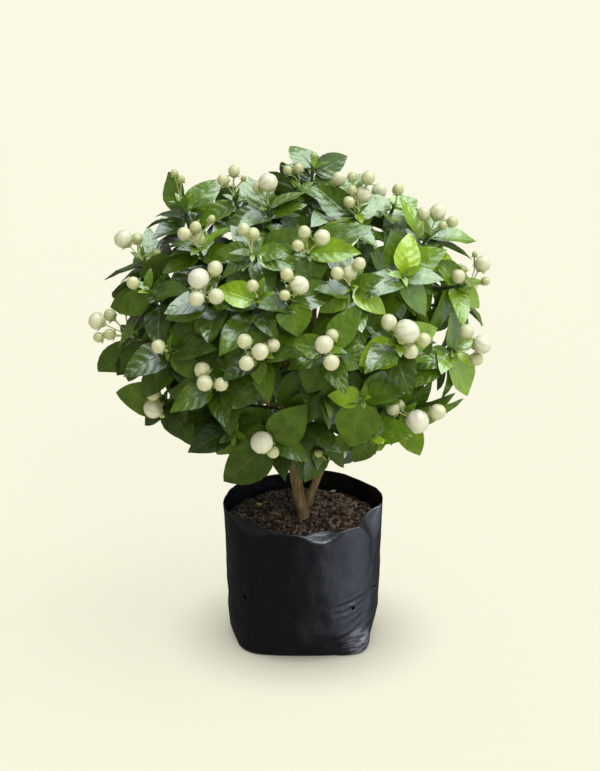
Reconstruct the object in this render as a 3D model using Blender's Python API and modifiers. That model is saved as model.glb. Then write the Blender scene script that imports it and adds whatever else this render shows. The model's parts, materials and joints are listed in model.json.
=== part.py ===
"""A potted arabian jasmine: a round bush full of cream buds in a black grow bag.

Metres, +Z up. The origin is the middle of the bag's flat bottom, and the front
of the plant faces -Y. The bag, the soil and the trunk are one solid each. The
green wood is one solid for each leafy branch, and each cluster of buds is one.
"""

import math
import random
from functools import partial

import bmesh
import bpy
from mathutils import Matrix, Vector
from mathutils.bvhtree import BVHTree

MM = 0.001
UP = Vector((0.0, 0.0, 1.0))
# Between pieces that rest against each other.
GAP = 0.3 * MM

# The grow bag: thin film, folded flat across the front and back of the floor, and round from the
# shoulder up.
BAG_HEIGHT = 156 * MM
BAG_RIM_RADIUS = 90 * MM
BAG_SHOULDER_RADIUS = 85 * MM
BAG_SHOULDER_HEIGHT = 38 * MM
BAG_MIDDLE_HEIGHT = 92 * MM
BAG_HIP_HEIGHT = 19 * MM
BAG_FLOOR_HALF_WIDTH = 84 * MM
BAG_FLOOR_HALF_DEPTH = 67 * MM
BAG_CORNER_POWER = 3.0
BAG_FILM = 0.9 * MM
BAG_SIDES = 28
BAG_RIM_WAVE = 2.5 * MM
BAG_RIM_TILT = 2.5 * MM
BAG_SLACK = 0.7 * MM
# Drain holes in the wall, as angle round the bag in degrees and height in mm.
DRAIN_HOLES = ((-49, 58), (-21, 68), (42, 58), (70, 68), (138, 58), (222, 68))
DRAIN_RADIUS = 3 * MM
DRAIN_SIDES = 6
DRAIN_CUT = 12 * MM

# The soil fills the bag to a little below its rim.
SOIL_HEIGHT = 142 * MM
SOIL_LUMP = 2.2 * MM
SOIL_EDGE_DROP = 3 * MM
SOIL_CLEARANCE = BAG_FILM + 0.45 * MM
SOIL_FLOOR = BAG_FILM + 0.35 * MM

# The trunk stands in a plain hole and forks just above the soil. Points and radii in mm.
FOOT_RADIUS = 7.2
FOOT_CLEARANCE = 0.35
FOOT_HOLE_SIDES = 16
MAIN_STEM = (
    (0, -12, 112),
    (0, -12, 147),
    (-4, -12, 168),
    (-9, -11, 198),
    (-14, -8, 236),
    (-16, -3, 278),
)
MAIN_RADII = (FOOT_RADIUS, FOOT_RADIUS, 6.7, 6.2, 5.5, 4.4)
SIDE_STEM = ((1, -12, 152), (8, -13, 170), (16, -13, 192), (26, -10, 228), (36, -6, 268))
SIDE_RADII = (4.8, 4.5, 4.3, 4.1, 3.7)
LIMB_RADII = (3.6, 3.0, 2.6, 2.2)
LIMB_RISE = 0.3

# The crown is close to an ellipsoid, which the shoots reach out to.
CROWN_CENTRE = Vector((-10, 0, 390)) * MM
CROWN_RADII = Vector((205, 190, 165)) * MM

# A shoot's radii in mm, from its fork to its tip. It ends headed partly out of the crown, partly to
# the side it is seen from, and a little up. Its bend is a share of its span, as are a leader's first
# and last straight stretches.
SHOOT_RADII = (1.9, 1.8, 1.7, 1.6)
SHOOT_OUTWARD = 0.65
SHOOT_RISE = 0.30
SHOOT_BEND = 0.45
SHOOT_STEPS = 2
LEADER_START = 0.25
LEADER_END = 0.30
FORK_SHARES = (0.16, 0.34, 0.50, 0.64)

# A leaf's outline, as share of its length and share of its width, for each ring.
LARGE_OUTLINE = ((0.12, 0.13), (0.38, 1.00), (0.73, 0.64))
SMALL_OUTLINE = ((0.38, 1.00), (0.73, 0.64))
LEAF_HALF_THICKNESS = 0.62 * MM
# Below this share of a unit template, a corner counts as lying on its middle plane.
NEARLY_NONE = 0.01
LEAF_ROOT = -0.3 * MM
LEAF_SLIMMEST = 0.54
# A leaf is seen at a slant, so it is this much longer than it looks.
LEAF_SLANT = 1.15
LEAF_FOLD = 0.16
LEAF_ARCH = 0.14
# A large leaf leans with the crown's surface. The second number holds that back at its silhouette.
LEAF_LEAN = 0.6
LEAF_LEAN_HOLD = 0.2
# How far a blade faces out of the crown, the side it is seen from, and the sky.
LEAF_FACE = (0.6, 0.5, 0.3)
PAIR_FACE = (0.7, 0.6)
LEAF_TILT = 8.0
LEAF_DEPTHS = (7 * MM, 9 * MM, 19 * MM, 21 * MM)
# Each leaf is tried this often, by turning, tilting, sliding and shrinking it more each time, until
# it clears all else by the margin. Angles in degrees.
LEAF_MARGIN = 0.35 * MM
LEAF_TRIES = 60
LEAF_STRAY = {"turn": 0.7, "tilt": 0.5, "slide": 0.4 * MM, "shrink": 0.004}

# Rule for the pair of leaves below the large ones.
PAIR_DEPTH = 36 * MM
PAIR_TWIST = 45.0
PAIR_PITCH = 68.0
PAIR_DROOP = 0.25
PAIR_TILT = 6.0
PAIR_LENGTH = (54 * MM, 68 * MM)
PAIR_WIDTH_SHARE = 0.58
PAIR_STRAY = {"turn": 0.5, "tilt": 0.4, "slide": 0.1 * MM, "shrink": 0.005}
# A shoot with this many large leaves has a pair too only if its number divides by the second.
PAIR_LIMIT = 3
PAIR_SKIP = 5

LARGE_LEAF_SEED = 1000
PAIR_SEED = 2000

# A cluster: a short stalk for each bud from one knob at the shoot's tip.
KNOB_RADIUS = 1.4 * MM
KNOB_LENGTH = 4 * MM
KNOB_SIDES = 4
HUB_DEPTH = 1.2 * MM
STALK_RADIUS = 0.9 * MM
STALK_SIDES = 3
# The stalk ends inside its bud, this share of the diameter short of the centre, as wide as the calyx.
STALK_STOP = 0.30
CALYX_SHARE = 0.34
# Sides and rings of a bud that is thicker than the first number.
BUD_FORMS = ((18.5 * MM, (6, 4)), (15.5 * MM, (5, 4)), (10.5 * MM, (5, 3)), (0.0, (4, 2)))
BUD_REACH = 11 * MM
BUD_CLEARANCE = 0.4 * MM
FACING_FRONT = Vector((0.0, -0.95, 0.31)).normalized()
FACING_RISE = 0.31

# Where each limb of the trunk starts and ends: its parent stem, the share of the way up that stem,
# and its end in mm. One leafy branch goes on from each end.
LIMBS = {
    "left_top": ("main", 0.86, (-80, -32, 392)),
    "left": ("main", 0.78, (-88, -38, 338)),
    "left_low": ("main", 0.66, (-72, -48, 296)),
    "front_top": ("main", 0.985, (-32, -38, 415)),
    "front": ("main", 0.94, (-34, -74, 356)),
    "front_low": ("main", 0.70, (-10, -62, 286)),
    "top": ("side", 1.00, (22, -28, 424)),
    "right_top": ("side", 0.90, (84, -24, 392)),
    "right": ("side", 0.76, (82, -52, 340)),
    "right_low": ("side", 0.58, (62, -54, 292)),
    "back_left": ("main", 0.82, (-78, 52, 362)),
    "back_top": ("main", 0.95, (-10, 46, 412)),
    "back_right": ("side", 0.84, (78, 50, 362)),
    "back_low": ("main", 0.74, (-4, 60, 292)),
}

# One row for each shoot: its tip (right, back, up) in mm, its buds (right, up, diameter) in mm and
# its large leaves (clock angle in degrees, length, width), the last two as seen by somebody who
# stands before it. The first shoot of a branch is its leader, and the others fork from it.
SHOOTS = {
    "left_top": (
        (
            (-165, -50, 445),
            ((-19, 21, 19), (-6, 22, 12), (15, 7, 9)),
            ((87, 37, 16), (190, 50, 18), (178, 38, 14)),
        ),
        (
            (-105, -100, 470),
            ((-13, 13, 14), (-2, 20, 12), (0, 9, 14), (14, 28, 8)),
            ((45, 44, 18), (175, 37, 16)),
        ),
        ((-125, -30, 500), ((-7, 30, 8), (0, 24, 8)), ((117, 52, 20), (42, 46, 20), (172, 42, 14))),
    ),
    "left": (
        (
            (-175, -60, 365),
            ((-38, 17, 18), (-25, 23, 13), (-36, 0, 11), (-25, 3, 12), (-10, 30, 12)),
            ((222, 66, 22), (254, 48, 18)),
        ),
        ((-155, -110, 430), ((-14, 6, 13),), ((203, 38, 18),)),
        ((-135, -140, 375), ((-8, 4, 14),), ((235, 41, 18), (320, 38, 20), (60, 42, 24))),
    ),
    "left_low": (
        ((-145, -80, 300), ((-10, 9, 14), (-11, -6, 20), (-2, -12, 8)), ((172, 54, 34), (293, 50, 36))),
        (
            (-90, -155, 345),
            ((-7, 1, 16), (9, 0, 14), (-10, 14, 16)),
            ((110, 40, 33), (195, 45, 27), (345, 42, 33)),
        ),
        ((-72, -110, 275), (), ((235, 34, 22), (290, 46, 30), (20, 40, 26))),
    ),
    "front_top": (
        ((-35, -85, 510), ((0, 22, 19), (-10, 18, 12)), ((40, 40, 16), (190, 40, 22))),
        ((-70, -50, 510), ((-11, 17, 12), (0, 26, 12), (10, 19, 6)), ((55, 34, 18), (200, 42, 24))),
        ((-5, -20, 515), ((-11, 16, 10), (0, 18, 11)), ((145, 35, 14), (330, 40, 22))),
        ((-50, -140, 475), ((-8, 22, 13), (1, 18, 13)), ((170, 34, 19), (350, 42, 26))),
    ),
    "front": (
        (
            (-45, -170, 380),
            ((-12, 13, 15), (3, 3, 17), (-10, -8, 15), (15, 9, 14)),
            ((60, 32, 23), (270, 26, 16), (190, 46, 28)),
        ),
        (
            (-95, -145, 435),
            ((-7, 14, 21), (9, 24, 15), (-9, -5, 16), (10, -3, 16)),
            ((345, 30, 18), (200, 46, 28), (250, 44, 28)),
        ),
        ((-45, -160, 435), ((-4, 11, 12),), ((160, 38, 24),)),
        ((-10, -160, 435), ((-6, 22, 13), (6, 12, 19), (-8, 2, 11)), ((280, 30, 31), (20, 44, 26))),
        ((-80, -95, 385), (), ()),
    ),
    "front_low": (
        (
            (25, -170, 385),
            ((-5, 5, 18), (3, 14, 13), (2, -12, 16)),
            ((55, 50, 25), (165, 36, 22), (245, 41, 34), (335, 34, 20)),
        ),
        ((-35, -125, 270), ((-7, 3, 23), (4, -7, 13)), ((45, 49, 35), (221, 68, 38), (170, 34, 22))),
        ((25, -70, 235), ((-9, 6, 9), (2, 11, 8), (13, 6, 16)), ((235, 28, 16), (300, 36, 18))),
        ((28, -125, 318), (), ((110, 44, 26), (205, 46, 28), (320, 46, 28))),
        ((-20, -110, 350), (), ()),
    ),
    "top": (
        ((10, -2, 534), ((1, 9, 7),), ((118, 42, 26), (27, 42, 14), (12, 32, 12))),
        ((35, -40, 510), ((1, 16, 15),), ((150, 40, 22), (350, 44, 24))),
        (
            (55, -70, 500),
            ((-6, 34, 10), (10, 33, 14), (-6, 21, 10), (5, 17, 17), (-9, 9, 12)),
            ((133, 52, 24), (190, 30, 14), (60, 26, 14)),
        ),
        ((5, -140, 475), ((-4, 19, 13), (-10, 6, 12), (13, 14, 16)), ((280, 30, 28),)),
    ),
    "right_top": (
        ((95, -15, 495), ((3, 15, 12),), ((150, 30, 20), (265, 40, 20))),
        (
            (130, -40, 470),
            ((-7, 20, 14), (8, 22, 17), (13, 8, 9), (23, 12, 12)),
            ((7, 57, 26), (120, 50, 26), (230, 44, 24)),
        ),
        (
            (170, -35, 415),
            ((16, 21, 17), (-9, 8, 15), (-3, 16, 8), (19, 3, 9), (8, 31, 6)),
            ((128, 40, 20), (318, 34, 16), (248, 54, 26), (298, 40, 16)),
        ),
        ((100, -130, 450), (), ((80, 40, 24), (200, 42, 24), (310, 42, 26))),
    ),
    "right": (
        (
            (160, -60, 350),
            ((9, 20, 16), (25, 7, 20), (20, -8, 14)),
            ((85, 41, 22), (298, 52, 32), (235, 41, 24)),
        ),
        (
            (95, -145, 385),
            ((-11, 20, 16), (7, 11, 25), (11, -8, 16), (24, 3, 14)),
            ((20, 40, 27), (210, 38, 30), (305, 36, 22)),
        ),
        ((45, -150, 445), ((-12, 11, 13), (0, 12, 15), (9, 20, 13)), ((330, 38, 23), (210, 34, 22))),
        ((48, -115, 395), (), ()),
    ),
    "right_low": (
        (
            (108, -80, 285),
            ((-15, 8, 14), (-8, 12, 12), (10, -5, 25), (31, 5, 17)),
            ((6, 60, 26), (290, 50, 20), (265, 36, 20)),
        ),
        ((60, -140, 325), (), ((258, 52, 40), (175, 30, 20), (30, 44, 28))),
        ((70, -100, 268), (), ((247, 36, 24), (302, 28, 22), (350, 40, 24))),
    ),
    "back_left": (
        ((-182, 30, 385), ((-10, 8, 17), (8, 12, 13), (1, -6, 14)), ()),
        ((-140, 90, 445), ((-6, 10, 16), (9, 6, 12)), ()),
        ((-115, 130, 345), ((-9, 6, 14), (4, 12, 18), (10, -3, 12)), ()),
        ((-155, 50, 295), (), ()),
    ),
    "back_top": (
        ((-20, 130, 475), ((-9, 9, 15), (6, 12, 18), (12, -2, 12)), ()),
        ((-80, 62, 484), ((-7, 10, 14), (6, 14, 12)), ()),
        ((0, 85, 500), ((-6, 12, 16), (8, 9, 13), (0, -2, 11)), ()),
        ((75, 76, 478), ((-4, 10, 17), (9, 3, 12)), ()),
    ),
    "back_right": (
        ((172, 35, 385), ((-8, 10, 16), (7, 10, 14), (2, -6, 12)), ()),
        ((135, 90, 445), ((-9, 8, 14), (5, 11, 18)), ()),
        ((110, 130, 345), ((-6, 9, 18), (9, 7, 13), (3, -7, 13)), ()),
        ((50, 155, 415), ((-9, 4, 14), (5, 9, 16)), ()),
    ),
    "back_low": (
        ((-45, 155, 335), ((-7, 8, 16), (8, 7, 14), (0, -7, 12)), ()),
        ((40, 135, 290), ((-5, 8, 14), (8, 4, 16)), ()),
        ((-100, 95, 265), (), ()),
        ((130, 60, 280), (), ()),
    ),
}
# The large leaves of a shoot whose row names none.
PLAIN_LEAVES = ((70, 48, 28), (210, 52, 30), (325, 50, 29))

COLOURS = {
    "bag": (0.008, 0.009, 0.012),
    "soil": (0.045, 0.028, 0.018),
    "bark": (0.30, 0.20, 0.12),
    "leaf": (0.055, 0.13, 0.03),
    "bud": (0.80, 0.76, 0.60),
}
ROUGHNESS = {"bag": 0.42, "soil": 0.95, "bark": 0.80, "leaf": 0.35, "bud": 0.55}


def clear_scene():
    """Start from an empty scene."""
    for thing in list(bpy.data.objects):
        bpy.data.objects.remove(thing, do_unlink=True)


def new_collection(name):
    group = bpy.data.collections.new(name)
    bpy.context.scene.collection.children.link(group)
    return group


def new_material(name):
    """A plain Principled finish in the colour of one kind of piece."""
    finish = bpy.data.materials.new(name)
    finish.use_nodes = True
    shader = finish.node_tree.nodes["Principled BSDF"]
    shader.inputs["Base Color"].default_value = (*COLOURS[name], 1.0)
    shader.inputs["Roughness"].default_value = ROUGHNESS[name]
    shader.inputs["Metallic"].default_value = 0.0
    return finish


def millimetres(values):
    return Vector(values) * MM


def crown_out(point):
    """The direction that leads straight out of the crown at a point."""
    offset = point - CROWN_CENTRE
    return Vector(offset[i] / CROWN_RADII[i] ** 2 for i in range(3)).normalized()


def shape_mesh(name, shape):
    """Turn a bmesh into a mesh and free it."""
    mesh = bpy.data.meshes.new(name)
    bmesh.ops.recalc_face_normals(shape, faces=shape.faces)
    shape.to_mesh(mesh)
    shape.free()
    return mesh


def evaluated_mesh(thing):
    """The mesh of an object with its modifiers or its curve applied."""
    graph = bpy.context.evaluated_depsgraph_get()
    return bpy.data.meshes.new_from_object(thing.evaluated_get(graph))


def tube_mesh(name, points, radii, bevel_resolution=0):
    """A closed tube through a few points, with a radius at each one."""
    curve = bpy.data.curves.new(name, "CURVE")
    curve.dimensions = "3D"
    curve.bevel_depth = 1.0
    curve.bevel_resolution = bevel_resolution
    curve.use_fill_caps = True
    spline = curve.splines.new("POLY")
    spline.points.add(len(points) - 1)
    for knot, place, radius in zip(spline.points, points, radii):
        knot.co = (*place, 1.0)
        knot.radius = radius
    guide = bpy.data.objects.new(name, curve)
    bpy.context.scene.collection.objects.link(guide)
    mesh = evaluated_mesh(guide)
    bpy.data.objects.remove(guide, do_unlink=True)
    bpy.data.curves.remove(curve)
    shape = bmesh.new()
    shape.from_mesh(mesh)
    bmesh.ops.remove_doubles(shape, verts=shape.verts, dist=0.001 * MM)
    bpy.data.meshes.remove(mesh)
    return shape_mesh(name, shape)


def place_solid(name, mesh, group, finish):
    """One named object with its finish, round pieces shaded smooth."""
    mesh.materials.clear()
    mesh.materials.append(finish)
    mesh.shade_smooth()
    mesh.set_sharp_from_angle(angle=math.radians(40))
    thing = bpy.data.objects.new(name, mesh)
    group.objects.link(thing)
    return thing


def fuse(name, meshes, group, finish):
    """Join closed meshes that overlap into one body with one Boolean union."""
    pieces = new_collection(name + "_pieces")
    for index, mesh in enumerate(meshes[1:]):
        pieces.objects.link(bpy.data.objects.new(f"{name}_{index}", mesh))
    body = bpy.data.objects.new(name, meshes[0])
    group.objects.link(body)
    union = body.modifiers.new("union", "BOOLEAN")
    union.operation = "UNION"
    union.operand_type = "COLLECTION"
    union.collection = pieces
    union.solver = "MANIFOLD"
    joined = evaluated_mesh(body)
    bpy.data.objects.remove(body, do_unlink=True)
    for piece in list(pieces.objects):
        bpy.data.objects.remove(piece, do_unlink=True)
    bpy.data.collections.remove(pieces)
    return place_solid(name, joined, group, finish)


def drill(thing, name, cutters, sides, radius, depth, place, turn):
    """Cut a round hole with a cylinder that is centred at a place."""
    shape = bmesh.new()
    bmesh.ops.create_cone(
        shape, cap_ends=True, segments=sides, radius1=radius, radius2=radius, depth=depth
    )
    cutter = bpy.data.objects.new(name, shape_mesh(name, shape))
    cutter.location = place
    cutter.rotation_euler = turn
    cutter.hide_render = True
    cutter.display_type = "WIRE"
    cutters.objects.link(cutter)
    cut = thing.modifiers.new(name, "BOOLEAN")
    cut.operation = "DIFFERENCE"
    cut.object = cutter


def tree_of(mesh, left_out=None):
    """A search tree over a mesh, for testing what it touches, without the faces at one corner."""
    points = [vertex.co.copy() for vertex in mesh.vertices]
    faces = [tuple(face.vertices) for face in mesh.polygons if left_out not in face.vertices]
    return BVHTree.FromPolygons(points, faces)


# The bag and the soil


def bag_radius(angle, height):
    """The bag's outer radius: a rounded oblong at the floor that turns into a circle."""
    power = BAG_CORNER_POWER
    across = abs(math.cos(angle)) / BAG_FLOOR_HALF_WIDTH
    ahead = abs(math.sin(angle)) / BAG_FLOOR_HALF_DEPTH
    oblong = (across**power + ahead**power) ** (-1.0 / power)
    rise = min(1.0, height / BAG_SHOULDER_HEIGHT)
    share = rise * rise * (3.0 - 2.0 * rise)
    above = max(0.0, height - BAG_SHOULDER_HEIGHT) / (BAG_HEIGHT - BAG_SHOULDER_HEIGHT)
    circle = BAG_SHOULDER_RADIUS + (BAG_RIM_RADIUS - BAG_SHOULDER_RADIUS) * above
    slack = BAG_SLACK * math.sin(3.0 * angle + 0.6) * math.sin(math.pi * above)
    return oblong + (circle - oblong) * share + slack


def rim_lift(angle):
    """How far the cut edge stands above or below the bag's height. It is higher behind."""
    wave = 0.6 * math.sin(2.0 * angle + 0.5) + 0.4 * math.sin(5.0 * angle + 1.2)
    return BAG_RIM_WAVE * wave + BAG_RIM_TILT * (1.0 + math.sin(angle))


def turned_mesh(name, profile):
    """Turn a profile of (radius share, height) about Z with a Screw modifier.

    Its quads are all split the same way, so that film and soil run parallel once they are bent.
    """
    mesh = bpy.data.meshes.new(name)
    corners = [(share, 0.0, height) for share, height in profile]
    mesh.from_pydata(corners, [(i, i + 1) for i in range(len(corners) - 1)], [])
    guide = bpy.data.objects.new(name, mesh)
    bpy.context.scene.collection.objects.link(guide)
    screw = guide.modifiers.new("turn", "SCREW")
    screw.steps = BAG_SIDES
    screw.render_steps = BAG_SIDES
    screw.use_merge_vertices = True
    screw.merge_threshold = 0.01 * MM
    screw.use_normal_calculate = True
    turned = evaluated_mesh(guide)
    bpy.data.objects.remove(guide, do_unlink=True)
    shape = bmesh.new()
    shape.from_mesh(turned)
    bmesh.ops.triangulate(shape, faces=shape.faces, quad_method="FIXED")
    shape.to_mesh(turned)
    shape.free()
    return turned


BAG_PROFILE = (
    (1.0, BAG_HEIGHT),
    (1.0, BAG_MIDDLE_HEIGHT),
    (1.0, BAG_SHOULDER_HEIGHT),
    (1.0, BAG_HIP_HEIGHT),
    (0.99, 4 * MM),
    (0.95, 0.0),
    (0.0, 0.0),
)


def build_bag(group, cutters, finish):
    """The film is an open shell, thickened inwards and pierced by its drain holes."""
    mesh = turned_mesh("bag", BAG_PROFILE)
    for vertex in mesh.vertices:
        share = vertex.co.xy.length
        angle = math.atan2(vertex.co.y, vertex.co.x)
        height = vertex.co.z
        reach = share * bag_radius(angle, height)
        lift = rim_lift(angle) if height > BAG_MIDDLE_HEIGHT + GAP else 0.0
        vertex.co = (reach * math.cos(angle), reach * math.sin(angle), height + lift)
    bag = place_solid("bag", mesh, group, finish)
    film = bag.modifiers.new("film", "SOLIDIFY")
    film.thickness = BAG_FILM
    film.offset = -1.0
    for number, (degrees, height) in enumerate(DRAIN_HOLES, 1):
        angle = math.radians(degrees)
        reach = bag_radius(angle, height * MM)
        place = Vector((reach * math.cos(angle), reach * math.sin(angle), height * MM))
        turn = (0.0, math.pi / 2.0, angle)
        drill(bag, f"drain_hole_{number}", cutters, DRAIN_SIDES, DRAIN_RADIUS, DRAIN_CUT, place, turn)


SOIL_PROFILE = (
    (0.0, SOIL_HEIGHT),
    (0.40, SOIL_HEIGHT),
    (0.75, SOIL_HEIGHT),
    (1.0, SOIL_HEIGHT - SOIL_EDGE_DROP),
    (1.0, BAG_MIDDLE_HEIGHT),
    (1.0, BAG_SHOULDER_HEIGHT),
    (1.0, BAG_HIP_HEIGHT),
    (0.98, 6 * MM),
    (0.90, SOIL_FLOOR),
    (0.0, SOIL_FLOOR),
)


def soil_lump(angle, share):
    """Clods of soil as two crossed waves that die out at the edge."""
    wave = math.sin(7.0 * angle + 9.0 * share) + math.sin(4.0 * angle - 17.0 * share + 1.0)
    return SOIL_LUMP * wave * (1.0 - share) ** 0.5


def build_soil(group, cutters, finish):
    """The plug of soil follows the bag's inside and has a plain hole for the trunk's foot."""
    mesh = turned_mesh("soil", SOIL_PROFILE)
    for vertex in mesh.vertices:
        share = vertex.co.xy.length
        angle = math.atan2(vertex.co.y, vertex.co.x)
        height = vertex.co.z
        reach = share * (bag_radius(angle, height) - SOIL_CLEARANCE)
        inner = height > SOIL_HEIGHT - GAP and share > 0.0
        lift = soil_lump(angle, share) if inner else 0.0
        vertex.co = (reach * math.cos(angle), reach * math.sin(angle), height + lift)
    soil = place_solid("soil", mesh, group, finish)
    radius = (FOOT_RADIUS + FOOT_CLEARANCE) * MM / math.cos(math.pi / FOOT_HOLE_SIDES)
    place = millimetres(MAIN_STEM[0]) + UP * (SOIL_HEIGHT / 2.0 - GAP)
    drill(soil, "trunk_hole", cutters, FOOT_HOLE_SIDES, radius, SOIL_HEIGHT, place, (0.0, 0.0, 0.0))


# The wood


def bent_path(start, tip, heading, steps):
    """Points from a fork to a tip that is reached along its heading."""
    knee = tip - heading * SHOOT_BEND * (tip - start).length
    path = []
    for step in range(steps + 1):
        t = step / steps
        path.append(start * (1 - t) ** 2 + knee * 2 * t * (1 - t) + tip * t * t)
    return path


def along_path(path, share):
    """The point at a share of the way along a path, counted by its length."""
    lengths = [(b - a).length for a, b in zip(path, path[1:])]
    left = share * sum(lengths)
    for (a, b), length in zip(zip(path, path[1:]), lengths):
        if left <= length:
            return a.lerp(b, left / length)
        left -= length
    return path[-1].copy()


def below_tip(path, depth):
    """The point and the heading at a distance down a path from its tip."""
    left = depth
    for b, a in zip(reversed(path[1:]), reversed(path[:-1])):
        length = (b - a).length
        if left <= length:
            return b.lerp(a, left / length), (b - a).normalized()
        left -= length
    return path[0].copy(), (path[1] - path[0]).normalized()


def limb_path(name):
    """A limb leaves its stem and ends headed away from the trunk."""
    parent, share, end = LIMBS[name]
    stem = [millimetres(point) for point in (MAIN_STEM if parent == "main" else SIDE_STEM)]
    start = along_path(stem, share)
    tip = millimetres(end)
    heading = (crown_out(tip) + UP * LIMB_RISE).normalized()
    return bent_path(start, tip, heading, len(LIMB_RADII) - 1)


def build_trunk(group, finish):
    """Both stems and their limbs, fused."""
    meshes = [
        tube_mesh("main", [millimetres(p) for p in MAIN_STEM], [r * MM for r in MAIN_RADII], 2),
        tube_mesh("side", [millimetres(p) for p in SIDE_STEM], [r * MM for r in SIDE_RADII], 1),
    ]
    for name in LIMBS:
        meshes.append(tube_mesh(name, limb_path(name), [r * MM for r in LIMB_RADII]))
    return fuse("trunk", meshes, group, finish)


# The shoots


class Shoot:
    """One shoot of a leafy branch, with what it carries."""

    def __init__(self, branch, tip, buds, leaves):
        self.branch = branch
        self.tip = millimetres(tip)
        self.buds = buds
        self.large_leaves = leaves or PLAIN_LEAVES
        self.path = []
        outward = crown_out(self.tip)
        if self.tip.y < 0:
            self.facing = FACING_FRONT
        else:
            flat = Vector((outward.x, outward.y, 0.0)).normalized()
            self.facing = (flat + UP * FACING_RISE).normalized()
        self.right = UP.cross(self.facing).normalized()
        self.up = self.facing.cross(self.right)
        self.heading = outward.lerp(self.facing, 1.0 - SHOOT_OUTWARD) + UP * SHOOT_RISE
        self.heading.normalize()
        self.end_heading = self.heading


def grow_shoots():
    """Paths of all shoots: each leader goes on from its limb, and the others fork from it."""
    branches = {}
    for branch, rows in SHOOTS.items():
        shoots = [Shoot(branch, *row) for row in rows]
        limb = limb_path(branch)
        on = (limb[-1] - limb[-2]).normalized()
        leader = shoots[0]
        start = limb[-1] + on * GAP
        span = (leader.tip - start).length
        leader.path = [
            start,
            start + on * LEADER_START * span,
            leader.tip - leader.heading * LEADER_END * span,
            leader.tip,
        ]
        for shoot, share in zip(shoots[1:], FORK_SHARES):
            fork = along_path(leader.path, share)
            shoot.path = bent_path(fork, shoot.tip, shoot.heading, SHOOT_STEPS)
        for shoot in shoots:
            shoot.end_heading = (shoot.path[-1] - shoot.path[-2]).normalized()
        branches[branch] = shoots
    return branches


# The bud clusters


def bud_mesh(centre, diameter, axis):
    """A round bud with its pole along the axis, with more sides on a larger one."""
    sides, rings = next(form for least, form in BUD_FORMS if diameter > least)
    shape = bmesh.new()
    bmesh.ops.create_uvsphere(shape, u_segments=sides, v_segments=rings, radius=diameter / 2.0)
    turn = UP.rotation_difference(axis).to_matrix().to_4x4()
    bmesh.ops.transform(shape, matrix=Matrix.Translation(centre) @ turn, verts=shape.verts)
    return shape_mesh("bud", shape)


def stalk_mesh(root, centre, diameter):
    """A stalk that widens into the calyx under its bud."""
    axis = centre - root
    length = axis.length - STALK_STOP * diameter
    axis.normalize()
    shape = bmesh.new()
    bmesh.ops.create_cone(
        shape,
        cap_ends=True,
        segments=STALK_SIDES,
        radius1=STALK_RADIUS,
        radius2=max(STALK_RADIUS, 0.5 * CALYX_SHARE * diameter),
        depth=length,
    )
    turn = UP.rotation_difference(axis).to_matrix().to_4x4()
    place = Matrix.Translation(root + axis * length / 2.0) @ turn
    bmesh.ops.transform(shape, matrix=place, verts=shape.verts)
    return shape_mesh("stalk", shape)


def knob_mesh(root, axis):
    """The short thick end that all stalks of a cluster leave from."""
    shape = bmesh.new()
    bmesh.ops.create_cone(
        shape,
        cap_ends=True,
        segments=KNOB_SIDES,
        radius1=KNOB_RADIUS,
        radius2=KNOB_RADIUS,
        depth=KNOB_LENGTH,
    )
    turn = UP.rotation_difference(axis).to_matrix().to_4x4()
    place = Matrix.Translation(root + axis * KNOB_LENGTH / 2.0) @ turn
    bmesh.ops.transform(shape, matrix=place, verts=shape.verts)
    return shape_mesh("knob", shape)


def bud_places(shoot):
    """Centre and diameter of each bud. A later bud moves back until it clears those before it."""
    placed = []

    def touches(centre, diameter):
        return any(
            (centre - other).length < (diameter + wide) / 2.0 + BUD_CLEARANCE for other, wide in placed
        )

    for right, up, size in shoot.buds:
        centre = shoot.tip + (shoot.right * right + shoot.up * up) * MM + shoot.facing * BUD_REACH
        while touches(centre, size * MM):
            centre -= shoot.facing * MM
        placed.append((centre, size * MM))
    return placed


def cluster_meshes(shoot):
    """The solids that one cluster is fused from."""
    root = shoot.tip + shoot.end_heading * GAP
    hub = root + shoot.end_heading * (KNOB_LENGTH - HUB_DEPTH)
    meshes = [knob_mesh(root, shoot.end_heading)]
    for centre, diameter in bud_places(shoot):
        meshes.append(stalk_mesh(hub, centre, diameter))
        meshes.append(bud_mesh(centre, diameter, (centre - hub).normalized()))
    return meshes


# The leaves


def leaf_template(rings):
    """A four-sided sphere whose poles become root and tip, split alike on both faces."""
    shape = bmesh.new()
    bmesh.ops.create_uvsphere(shape, u_segments=4, v_segments=rings, radius=1.0)
    for face in [face for face in shape.faces if len(face.verts) == 4]:
        margin = min((v for v in face.verts if abs(v.co.x) > NEARLY_NONE), key=lambda v: v.co.z)
        rib = max((v for v in face.verts if abs(v.co.x) <= NEARLY_NONE), key=lambda v: v.co.z)
        bmesh.utils.face_split(face, margin, rib)
    return shape_mesh(f"leaf_{rings}_rings", shape)


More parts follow.
